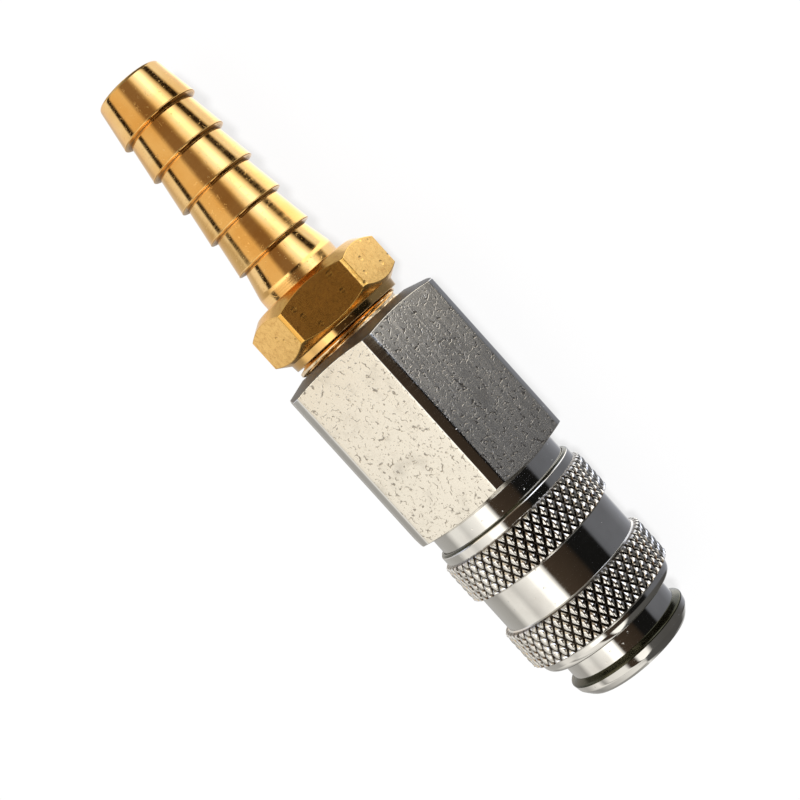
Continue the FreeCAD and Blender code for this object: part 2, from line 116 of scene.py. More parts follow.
def soft_corner(before: np.ndarray, corner: np.ndarray, after: np.ndarray, cut: float) -> np.ndarray:
    """Replace a corner of an outline by a short quadratic curve with a support point each side.

    Formula: with p and q at the cut's distance from the corner along its two sides, the curve is
    (1-t)^2 p + 2t(1-t) corner + t^2 q.

    Args:
        before: the point before the corner, one row of (x, radius) per column.
        corner: the corner itself.
        after: the point after the corner.
        cut: how far along each side the curve begins, in millimetres.

    Returns:
        The points of the curve, as an array of (points, columns, 2).
    """
    back, ahead = before - corner, after - corner
    back_length = np.linalg.norm(back, axis=-1, keepdims=True)
    ahead_length = np.linalg.norm(ahead, axis=-1, keepdims=True)
    back_cut = np.minimum(cut, LARGEST_SHARE * back_length)
    ahead_cut = np.minimum(cut, LARGEST_SHARE * ahead_length)
    start = corner + back / np.maximum(back_length, 1e-9) * back_cut
    end = corner + ahead / np.maximum(ahead_length, 1e-9) * ahead_cut
    support_back = corner + back / np.maximum(back_length, 1e-9) * back_cut * SUPPORT
    support_ahead = corner + ahead / np.maximum(ahead_length, 1e-9) * ahead_cut * SUPPORT
    share = np.linspace(0.0, 1.0, CORNER_ROWS - 2)[:, None, None]
    curve = (1 - share) ** 2 * start + 2 * share * (1 - share) * corner + share ** 2 * end
    return np.concatenate([support_back[None], curve, support_ahead[None]])


def soft_outline(points: np.ndarray, cuts: Iterable[float]) -> np.ndarray:
    """A closed outline with its corners softened.

    Args:
        points: (points, columns, 2), each row an (x, radius) for every column.
        cuts: one cut for each point, or 0 where the point lies on a smooth stretch.

    Returns:
        The longer outline, of the same layout.
    """
    rows = []
    count = len(points)
    for index, cut in enumerate(cuts):
        corner = points[index]
        if cut > 0:
            rows.append(soft_corner(points[index - 1], corner, points[(index + 1) % count], cut))
        else:
            rows.append(corner[None])
    return np.concatenate(rows)


class Outline:
    """A closed outline, drawn point by point and alike or different for each column."""

    def __init__(self, columns: int = 1) -> None:
        """Start an empty outline for a number of columns."""
        self.columns = columns
        self.rows: list[np.ndarray] = []
        self.cuts: list[float] = []
        self.marks: list[float] = []

    def add(self, x: Number, radius: Number, cut: float = 0.0, mark: float = -1.0) -> None:
        """Go on to a point.

        Args:
            x: its place along the axis.
            radius: its distance from the axis.
            cut: how far its corner is cut back on each side, 0 for a smooth stretch.
            mark: a number that stays with the point.
        """
        row = np.empty((self.columns, 2))
        row[:, 0] = x
        row[:, 1] = radius
        self.rows.append(row)
        self.cuts.append(cut)
        self.marks.append(mark)

    def add_all(self, points: Iterable[tuple]) -> None:
        """Go on to several points, each a tuple of what add takes."""
        for point in points:
            self.add(*point)

    def softened(self) -> np.ndarray:
        """The outline with its corners softened."""
        return soft_outline(np.array(self.rows), self.cuts)

    def softened_marks(self) -> np.ndarray:
        """The mark of each row of the softened outline."""
        return np.repeat(self.marks, [CORNER_ROWS if cut > 0 else 1 for cut in self.cuts])


def revolve(outline: np.ndarray, angles: np.ndarray) -> np.ndarray:
    """Turn an outline about the axis: y = radius cos(angle), z = radius sin(angle).

    Args:
        outline: (points, columns, 2) of (x, radius); one column stands for all.
        angles: the angle of each column, from +Y towards +Z.

    Returns:
        Points of the surface, as an array of (points, columns, 3).
    """
    wide = np.broadcast_to(outline, (outline.shape[0], len(angles), 2))
    x, radius = wide[..., 0], wide[..., 1]
    return np.stack([x, radius * np.cos(angles), radius * np.sin(angles)], axis=-1)


def grid_triangles(rows: int, columns: int, rising: np.ndarray) -> np.ndarray:
    """The triangles of a grid that closes on itself both ways.

    Args:
        rows: the number of rows of points.
        columns: the number of columns of points.
        rising: (rows, columns) of bool, true where a cell is split from its first corner.

    Returns:
        Point numbers, three for each triangle.
    """
    row, column = np.meshgrid(np.arange(rows), np.arange(columns), indexing="ij")
    next_row, next_column = (row + 1) % rows, (column + 1) % columns
    first = row * columns + column
    right = row * columns + next_column
    far = next_row * columns + column
    opposite = next_row * columns + next_column
    one = np.where(rising[..., None], np.stack([first, right, opposite], -1),
                   np.stack([first, right, far], -1))
    two = np.where(rising[..., None], np.stack([first, opposite, far], -1),
                   np.stack([right, opposite, far], -1))
    return np.concatenate([one.reshape(-1, 3), two.reshape(-1, 3)])


def signed_volume(points: np.ndarray, triangles: np.ndarray) -> float:
    """The volume inside a closed surface, negative where its faces point inwards."""
    corners = points[triangles]
    return float(np.einsum("ij,ij->i", corners[:, 0], np.cross(corners[:, 1], corners[:, 2])).sum() / 6)


def make_object(name: str, points: np.ndarray, triangles: np.ndarray,
                sharp_degrees: float) -> bpy.types.Object:
    """An object from points in millimetres and triangles, with its faces turned outwards.

    Args:
        name: the piece's name.
        points: (count, 3) in millimetres.
        triangles: (count, 3) of point numbers.
        sharp_degrees: edges sharper than this stay sharp.

    Returns:
        The new object, linked to the scene.
    """
    if signed_volume(points, triangles) < 0:
        triangles = triangles[:, ::-1]
    mesh = bpy.data.meshes.new(name)
    mesh.vertices.add(len(points))
    mesh.vertices.foreach_set("co", (points * MM).astype(np.float32).ravel())
    mesh.loops.add(triangles.size)
    mesh.loops.foreach_set("vertex_index", triangles.astype(np.int32).ravel())
    mesh.polygons.add(len(triangles))
    mesh.polygons.foreach_set("loop_start", np.arange(0, triangles.size, 3, dtype=np.int32))
    mesh.polygons.foreach_set("loop_total", np.full(len(triangles), 3, dtype=np.int32))
    mesh.update(calc_edges=True)
    mesh.validate()
    mesh.polygons.foreach_set("use_smooth", np.ones(len(mesh.polygons), dtype=bool))
    mesh.set_sharp_from_angle(angle=math.radians(sharp_degrees))
    piece = bpy.data.objects.new(name, mesh)
    bpy.context.scene.collection.objects.link(piece)
    return piece


def closed_surface(name: str, grid: np.ndarray, sharp_degrees: float = 28.0,
                   rising: Optional[np.ndarray] = None) -> bpy.types.Object:
    """An object from a grid of points that closes on itself both ways.

    Args:
        name: the piece's name.
        grid: (rows, columns, 3) in millimetres.
        sharp_degrees: edges sharper than this stay sharp.
        rising: how each cell is split, as grid_triangles takes it, or all alike.

    Returns:
        The new object, linked to the scene.
    """
    rows, columns = grid.shape[:2]
    if rising is None:
        rising = np.ones((rows, columns), dtype=bool)
    return make_object(name, grid.reshape(-1, 3), grid_triangles(rows, columns, rising), sharp_degrees)


def hexagon_angles(turn: float, flat_columns: int, corner_half: float) -> np.ndarray:
    """Column angles that suit a hexagon: even steps across each flat and fine steps at its edges.

    Args:
        turn: the angle of the first flat's middle, in radians.
        flat_columns: how many columns a flat has.
        corner_half: half the angle of the strip turned at each corner, in radians.

    Returns:
        Angles in rising order, over one full turn.
    """
    edge = math.pi / 6 - corner_half
    across = np.arctan(np.linspace(-math.tan(edge), math.tan(edge), flat_columns))
    fine = np.radians(BESIDE_EDGE)
    near_edges = np.concatenate([edge + fine, -edge + fine])
    strip = np.linspace(edge, math.pi / 3 - edge, 6)[1:-1] if corner_half > 0.01 else np.array([math.pi / 6])
    one_flat = np.unique(np.round(np.concatenate([across, near_edges, strip]), 6))
    one_flat = one_flat[(one_flat >= -math.pi / 6) & (one_flat < math.pi / 6 - 1e-5)]
    strip_low = strip - math.pi / 3
    one_flat = np.unique(np.round(np.concatenate([one_flat, strip_low[strip_low >= -math.pi / 6]]), 6))
    return np.concatenate([turn + one_flat + math.pi / 3 * side for side in range(6)])


def hexagon_radius(angles: np.ndarray, turn: float, across_flats: float, corner_radius: float,
                   softness: float) -> np.ndarray:
    """The radius of a hexagon whose corners are turned round.

    Formula: the flat's radius is half the width across flats over the cosine of the angle from the
    flat's middle, and it is blended with the corner radius by a soft minimum.

    Args:
        angles: the angle of each column.
        turn: the angle of the first flat's middle, in radians.
        across_flats: the width across flats.
        corner_radius: the radius that the corners are turned to.
        softness: how softly the two meet, in millimetres.

    Returns:
        The radius at each angle.
    """
    sixth = math.pi / 3
    from_middle = (angles - turn + sixth / 2) % sixth - sixth / 2
    flat = across_flats / 2 / np.cos(from_middle)
    return -softness * np.log(np.exp(-flat / softness) + np.exp(-corner_radius / softness))


# Finishes
#
# A cloud, a grain and waves are a noise's scale and detail, strokes and specks are what the shader's
# strokes or pits take, a range is where a ramp starts and ends, and depths are in metres.


class NodeTree:
    """A small helper that adds nodes to a material or to the world, in words."""

    def __init__(self, tree: bpy.types.NodeTree) -> None:
        """Keep the tree that the nodes go to."""
        self.tree = tree

    def node(self, kind: str, **settings) -> bpy.types.Node:
        """A new node.

        Args:
            kind: the node's type.
            settings: its properties by name.

        Returns:
            The node.
        """
        made = self.tree.nodes.new(kind)
        for key, value in settings.items():
            setattr(made, key, value)
        return made

    def feed(self, made: bpy.types.Node, **values) -> bpy.types.Node:
        """Set some of a node's inputs.

        Args:
            made: the node.
            values: a socket or a plain value for each input by name, with a low line for a blank.

        Returns:
            The same node.
        """
        for key, value in values.items():
            self.put(value, made.inputs[key.replace("_", " ")])
        return made

    def put(self, value: Value, target: Socket) -> None:
        """Set one input.

        Args:
            value: a socket that is joined to it, or a plain value that is written on it.
            target: the input.
        """
        if isinstance(value, bpy.types.NodeSocket):
            self.tree.links.new(value, target)
        else:
            target.default_value = (*value, 1.0) if target.type == "RGBA" else value

    def maths(self, operation: str, *values: Value) -> Socket:
        """Arithmetic.

        Args:
            operation: the name of the operation.
            values: what it works on, each a socket or a number.

        Returns:
            The result.
        """
        made = self.node("ShaderNodeMath", operation=operation)
        for value, target in zip(values, made.inputs):
            self.put(value, target)
        return made.outputs["Value"]

    def dot(self, direction: Socket, axis: Vector) -> Socket:
        """How far a direction goes along an axis.

        Args:
            direction: the direction.
            axis: the axis, one unit long.

        Returns:
            Their dot product.
        """
        made = self.node("ShaderNodeVectorMath", operation="DOT_PRODUCT")
        self.put(direction, made.inputs[0])
        self.put(axis, made.inputs[1])
        return made.outputs["Value"]

    def ramp(self, value: Value, low: float, high: float, at_low: float = 0.0,
             at_high: float = 1.0) -> Socket:
        """A value carried smoothly from one range to another.

        Args:
            value: the value.
            low: where the ramp starts.
            high: where it ends.
            at_low: the result up to low.
            at_high: the result from high on.

        Returns:
            The result.
        """
        made = self.node("ShaderNodeMapRange", interpolation_type="SMOOTHSTEP")
        self.feed(made, Value=value, From_Min=low, From_Max=high, To_Min=at_low, To_Max=at_high)
        return made.outputs["Result"]

    def mix(self, share: Value, first: Value, second: Value) -> Socket:
        """A colour between two, each a socket or a plain colour, by a share."""
        made = self.feed(self.node("ShaderNodeMix", data_type="RGBA"), Factor=share, A=first, B=second)
        return made.outputs["Result"]


class Shader(NodeTree):
    """The nodes of one material, laid out in object coordinates."""

    patch_edge = 0.06
    roughness_range = (0.3, 0.8)

    def __init__(self, name: str, metallic: float = 1.0) -> None:
        """Start a material with its surface shader and object coordinates."""
        self.material = bpy.data.materials.new(name)
        self.material.use_nodes = True
        super().__init__(self.material.node_tree)
        self.surface = self.feed(self.tree.nodes["Principled BSDF"], Metallic=metallic)
        self.place = self.node("ShaderNodeTexCoord").outputs["Object"]

    def stretched(self, scale: Triple) -> Socket:
        """Object coordinates multiplied by a scale along each axis."""
        return self.feed(self.node("ShaderNodeMapping"), Scale=scale, Vector=self.place).outputs["Vector"]

    def from_axis(self) -> Socket:
        """The distance from the object's axis, in metres.

        Returns:
            The length of the place's part across the axis.
        """
        flat = self.node("ShaderNodeVectorMath", operation="MULTIPLY")
        flat.inputs[1].default_value = (0.0, 1.0, 1.0)
        self.put(self.place, flat.inputs[0])
        length = self.node("ShaderNodeVectorMath", operation="LENGTH")
        self.put(flat.outputs["Vector"], length.inputs[0])
        return length.outputs["Value"]

    def noise(self, scale: float, detail: float = 3.0, place: Optional[Socket] = None,
              roughness: float = 0.5) -> Socket:
        """Cloudy noise from 0 to 1.

        Args:
            scale: how many clouds lie on a metre.
            detail: how many finer layers are added.
            place: the coordinates, or the object's own.
            roughness: how strong the finer layers are.

        Returns:
            The noise.
        """
        made = self.node("ShaderNodeTexNoise")
        self.feed(made, Vector=place or self.place, Scale=scale, Detail=detail, Roughness=roughness)
        return made.outputs["Fac"]

    def drawn(self, scale: Triple, detail: float = 2.0) -> Socket:
        """Noise drawn out along an axis: rings, waves or scratches."""
        return self.noise(1.0, detail, self.stretched(scale))

    def pits(self, scale: float, size: float) -> Socket:
        """Round spots: 1 inside a spot, 0 outside it."""
        made = self.feed(self.node("ShaderNodeTexVoronoi"), Vector=self.place, Scale=scale, Randomness=1.0)
        return self.ramp(made.outputs["Distance"], size * 0.5, size, 1.0, 0.0)

    def strokes(self, scale: float, width: float, patch_scale: float, patch_level: float) -> Socket:
        """Short curved strokes: 1 where one noise is near its middle, in patches of another.

        Args:
            scale: the first noise's scale, which gives the strokes their bends.
            width: how far from its middle that noise may be, which gives them their width.
            patch_scale: the second noise's scale, which gives them their length.
            patch_level: how high that noise has to be.

        Returns:
            The strokes, from 0 to 1.
        """
        from_middle = self.maths("ABSOLUTE", self.maths("SUBTRACT", self.noise(scale, 1.0), 0.5))
        line = self.ramp(from_middle, 0.0, width, 1.0, 0.0)
        patch = self.ramp(self.noise(patch_scale, 1.0), patch_level, patch_level + self.patch_edge)
        return self.maths("MULTIPLY", line, patch)

    def rougher(self, texture: Socket, roughness: float, more: float) -> Socket:
        """A roughness that rises where a texture is high."""
        return self.ramp(texture, *self.roughness_range, roughness, roughness + more)

    def bump(self, height: Socket, depth: float, after: Optional[Socket] = None) -> Socket:
        """A normal bent by a height.

        Args:
            height: the height, from 0 to 1.
            depth: what 1 stands for, in metres.
            after: a normal that is already bent by something coarser.

        Returns:
            The bent normal.
        """
        made = self.feed(self.node("ShaderNodeBump"), Strength=1.0, Distance=depth, Height=height)
        if after is not None:
            self.feed(made, Normal=after)
        return made.outputs["Normal"]

    def sunk(self, height: Socket, depth: float, after: Socket) -> Socket:
        """A normal bent by a height that goes into the surface."""
        return self.bump(self.maths("MULTIPLY", height, -1.0), depth, after)

    def finished(self, colour: Value, roughness: Value, normal: Socket) -> bpy.types.Material:
        """The material, with its colour, roughness and normal joined to its surface."""
        self.feed(self.surface, Base_Color=colour, Roughness=roughness, Normal=normal)
        return self.material


@dataclass(frozen=True)
class TurnedBrass:
    """Bright turned brass: fine rings from the tool, soft waves and small specks."""

    name: str = "turned_brass"
    colour: Colour = (0.93, 0.57, 0.20)
    deep: Colour = (0.86, 0.47, 0.13)
    roughness: float = 0.085
    ring_scale: Triple = (9000.0, 120.0, 120.0)
    ring_depth: float = 1.2e-6
    wave_scale: Triple = (500.0, 260.0, 260.0)
    wave_depth: float = 1e-5
    ragged_scale: Triple = (1500.0, 1900.0, 1900.0)
    ragged_depth: float = 2.5e-6
    specks: tuple = (1900.0, 0.04, 2300.0, 0.60)
    speck_depth: float = 3e-6
    cloud: tuple = (260.0, 4.0)
    cloud_range: tuple = (0.35, 0.72)
    ring_roughness: float = 0.08
    speck_roughness: float = 0.2

    def build(self) -> bpy.types.Material:
        """Lay out the nodes and give the material."""
        shader = Shader(self.name)
        cloud = shader.ramp(shader.noise(*self.cloud), *self.cloud_range)
        rings = shader.drawn(self.ring_scale)
        speck = shader.strokes(*self.specks)
        rough = shader.maths("ADD", shader.rougher(rings, self.roughness, self.ring_roughness),
                             shader.maths("MULTIPLY", speck, self.speck_roughness))
        bent = shader.bump(shader.drawn(self.wave_scale), self.wave_depth)
        bent = shader.bump(shader.drawn(self.ragged_scale, 3.0), self.ragged_depth, bent)
        bent = shader.bump(rings, self.ring_depth, bent)
        return shader.finished(shader.mix(cloud, self.colour, self.deep), rough,
                               shader.sunk(speck, self.speck_depth, bent))


@dataclass(frozen=True)
class SatinBrass:
    """The brass of the hexagon and the thread: satin, speckled, with small dents."""

    name: str = "satin_brass"
    colour: Colour = (0.96, 0.56, 0.14)
    deep: Colour = (0.80, 0.42, 0.09)
    roughness: float = 0.14
    more_roughness: float = 0.12
    grain: tuple = (1900.0, 5.0)
    grain_roughness: float = 0.7
    grain_range: tuple = (0.42, 0.75)
    grain_depth: float = 4e-6
    wave_scale: float = 700.0
    dents: tuple = (620.0, 0.2)
    dent_depth: float = 1.2e-5

    def build(self) -> bpy.types.Material:
        """Lay out the nodes and give the material."""
        shader = Shader(self.name)
        grain = shader.noise(*self.grain, roughness=self.grain_roughness)
        colour = shader.mix(shader.ramp(grain, *self.grain_range), self.colour, self.deep)
        dents = shader.pits(*self.dents)
        bent = shader.bump(shader.maths("SUBTRACT", shader.noise(self.wave_scale), dents), self.dent_depth)
        return shader.finished(colour, shader.rougher(grain, self.roughness, self.more_roughness),
                               shader.bump(grain, self.grain_depth, bent))


@dataclass(frozen=True)
class PittedNickel:
    """Nickel plate over hexagon bar: fine scratches along it, pits and shallow dents; the pits' dark colour
    is painted shade.
    """

    name: str = "pitted_nickel"
    colour: Colour = (0.80, 0.745, 0.64)
    dull: Colour = (0.28, 0.25, 0.21)
    roughness: float = 0.15
    long_strokes: tuple = (1300.0, 0.055, 2100.0, 0.52)
    short_strokes: tuple = (2600.0, 0.07, 3100.0, 0.55)
    stroke_depth: float = 7e-6
    scratch_scale: Triple = (160.0, 4200.0, 4200.0)
    scratch_depth: float = 8e-7
    scratch_roughness: float = 0.08
    cloud: tuple = (420.0, 5.0)
    cloud_roughness: float = 0.65
    cloud_range: tuple = (0.48, 0.8)
    cloud_share: float = 0.35
    short_share: float = 0.6
    waves: tuple = (600.0, 2.0)
    wave_depth: float = 5e-6

    def build(self) -> bpy.types.Material:
        """Lay out the nodes and give the material."""
        shader = Shader(self.name)
        cloud = shader.ramp(shader.noise(*self.cloud, roughness=self.cloud_roughness), *self.cloud_range)
        small = shader.maths("MULTIPLY", shader.strokes(*self.short_strokes), self.short_share)
        pits = shader.maths("MAXIMUM", shader.strokes(*self.long_strokes), small)
        # The pits take the dull colour as painted shade; the cloud's share is random tone.
        tone_and_pit_shade = shader.maths("MAXIMUM", shader.maths("MULTIPLY", cloud, self.cloud_share), pits)
        scratch = shader.drawn(self.scratch_scale, 3.0)
        bent = shader.sunk(pits, self.stroke_depth, shader.bump(shader.noise(*self.waves), self.wave_depth))
        return shader.finished(shader.mix(tone_and_pit_shade, self.colour, self.dull),
                               shader.rougher(scratch, self.roughness, self.scratch_roughness),
                               shader.bump(scratch, self.scratch_depth, bent))


@dataclass(frozen=True)
class MirrorNickel:
    """Bright nickel plate on turned steel: nearly a mirror, with faint waves and a few specks."""

    name: str = "mirror_nickel"
    colour: Colour = (0.80, 0.775, 0.72)
    dull: Colour = (0.70, 0.67, 0.62)
    roughness: float = 0.055
    ring_scale: Triple = (7000.0, 90.0, 90.0)
    ring_depth: float = 6e-7
    wave_scale: Triple = (420.0, 300.0, 300.0)
    wave_depth: float = 6e-6
    ring_roughness: float = 0.06
    specks: tuple = (900.0, 0.1)
    speck_depth: float = 1e-5
    cloud: tuple = (300.0, 4.0)
    cloud_range: tuple = (0.4, 0.8)

    def build(self) -> bpy.types.Material:
        """Lay out the nodes and give the material."""
        shader = Shader(self.name)
        cloud = shader.ramp(shader.noise(*self.cloud), *self.cloud_range)
        rings = shader.drawn(self.ring_scale)
        bent = shader.bump(shader.drawn(self.wave_scale), self.wave_depth)
        bent = shader.sunk(shader.pits(*self.specks), self.speck_depth, bent)
        return shader.finished(shader.mix(cloud, self.colour, self.dull),
                               shader.rougher(rings, self.roughness, self.ring_roughness),
                               shader.bump(rings, self.ring_depth, bent))


@dataclass(frozen=True)
class KnurledNickel:
    """Bright nickel plate over the knurl, with painted shade darkening its grooves and grime in random
    patches.
    """

    name: str = "knurled_nickel"
    colour: Colour = (0.80, 0.77, 0.71)
    grime_and_groove_shade: Colour = (0.16, 0.14, 0.12)
    groove_radius: float = 0.00855
    top_radius: float = 0.00864
    roughness: float = 0.085
    more_roughness: float = 0.1
    grain: tuple = (2400.0, 4.0)
    grain_roughness: float = 0.65
    grain_range: tuple = (0.45, 0.8)
    grain_share: float = 0.16
    grain_depth: float = 6e-6

    def build(self) -> bpy.types.Material:
        """Lay out the nodes and give the material."""
        shader = Shader(self.name)
        grain = shader.noise(*self.grain, roughness=self.grain_roughness)
        worn = shader.maths("MULTIPLY", shader.ramp(grain, *self.grain_range), self.grain_share)
        # Painted shade: the colour darkens towards the groove bottoms, below the top radius.
        groove = shader.ramp(shader.from_axis(), self.groove_radius, self.top_radius, 1.0, 0.0)
        colour = shader.mix(shader.maths("MAXIMUM", worn, groove), self.colour, self.grime_and_groove_shade)
        return shader.finished(colour, shader.rougher(grain, self.roughness, self.more_roughness),
                               shader.bump(grain, self.grain_depth))


@dataclass(frozen=True)
class Grained:
    """A finish of one colour with fine grain: the inner metals, rubber, and painted shade on ends and edges.
    """

    name: str
    colour: Colour
    other: Colour
    roughness: float
    more_roughness: float = 0.1
    grain: tuple = (2200.0, 3.0)
    colour_range: tuple = (0.4, 0.8)
    depth: float = 2e-6
    metallic: float = 1.0

    def build(self) -> bpy.types.Material:
        """Lay out the nodes and give the material."""
        shader = Shader(self.name, self.metallic)
        grain = shader.noise(*self.grain)
        colour = shader.mix(shader.ramp(grain, *self.colour_range), self.colour, self.other)
        return shader.finished(colour, shader.rougher(grain, self.roughness, self.more_roughness),
                               shader.bump(grain, self.depth))


@dataclass(frozen=True)
class DarkEdge(Grained):
    """Dark grained metal: painted shade on the barbs' backs, the body's rear end and the sleeve's rear edge,
    and the nose ring's own dark colour.
    """

    more_roughness: float = 0.15
    grain: tuple = (1600.0, 4.0)
    colour_range: tuple = (0.4, 0.75)
    depth: float = 1e-6


class Finishes:
    """Each finish of the object, built once."""

    def __init__(self) -> None:
        """Build every material."""
        self.turned_brass = TurnedBrass().build()
        self.satin_brass = SatinBrass().build()
        self.pitted_nickel = PittedNickel().build()
        self.mirror_nickel = MirrorNickel().build()
        self.knurled_nickel = KnurledNickel().build()
        self.spring_wire = Grained("spring_wire", (0.52, 0.52, 0.51), (0.416, 0.416, 0.408), 0.28).build()
        self.ball_steel = Grained("ball_steel", (0.72, 0.72, 0.71), (0.576, 0.576, 0.568), 0.06).build()
        self.valve_brass = Grained("valve_brass", (0.84, 0.58, 0.25), (0.672, 0.464, 0.2), 0.25).build()
        self.seal_rubber = Grained("seal_rubber", (0.018, 0.018, 0.019), (0.045, 0.044, 0.043), 0.45, 0.17,
                                   (1500.0, 4.0), (0.45, 0.8), 4e-6, 0.0).build()
        # Painted shade on the backs of the barbs.
        self.painted_barb_shade = DarkEdge("painted_barb_shade", (0.30, 0.16, 0.045), (0.45, 0.25, 0.08),
                                        0.3).build()
        # A paler copy of the satin brass: painted light on the thread between the two hexagons.
        self.thread_brass_painted_light = SatinBrass("thread_brass_painted_light", (0.98, 0.76, 0.46), (0.92, 0.66, 0.36), 0.12).build()
        # Painted shade on the body's rear end, next to the hose tail.
        self.painted_rear_end_shade = DarkEdge("painted_rear_end_shade", (0.17, 0.165, 0.16), (0.24, 0.235, 0.225), 0.45).build()
        # The nose ring's own dark colour, and painted shade on the sleeve's rear edge at its gap.
        self.dark_ring_and_gap_shade = DarkEdge("dark_ring_and_gap_shade", (0.062, 0.06, 0.036), (0.085, 0.08, 0.05), 0.16).build()


def dress(piece: bpy.types.Object, materials: list, body: Body, slot: Slot, *nodes: str) -> None:
    """Give a piece its materials and body, and let it stand for nodes of the frame.

    Args:
        piece: the piece.
        materials: its materials, the first of them for every face that isn't painted.
        body: the body that it moves with.
        slot: not used.
        nodes: the nodes of the frame that it stands for.
    """
    piece.data.materials.clear()
    for material in materials:
        piece.data.materials.append(material)
    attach(piece, body.value)
    if nodes:
        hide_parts(*nodes)
    LOG.info("%s: %d triangles", piece.name, len(piece.data.polygons))


def paint(piece: bpy.types.Object, material: bpy.types.Material, where: Callable) -> None:
    """Give some faces another of the piece's materials.

    Args:
        piece: the piece.
        material: the material, one of the piece's own.
        where: takes the x and the radius of every face's middle, in millimetres, as two arrays,
            and gives true for the faces that change.
    """
    mesh = piece.data
    centres = np.zeros(len(mesh.polygons) * 3)
    mesh.polygons.foreach_get("center", centres)
    centres = centres.reshape(-1, 3) / MM
    chosen = np.zeros(len(mesh.polygons), dtype=np.int32)
    mesh.polygons.foreach_get("material_index", chosen)
    faces = where(centres[:, 0], np.hypot(centres[:, 1], centres[:, 2]))
    chosen[faces] = list(mesh.materials).index(material)
    mesh.polygons.foreach_set("material_index", chosen)


# Pieces


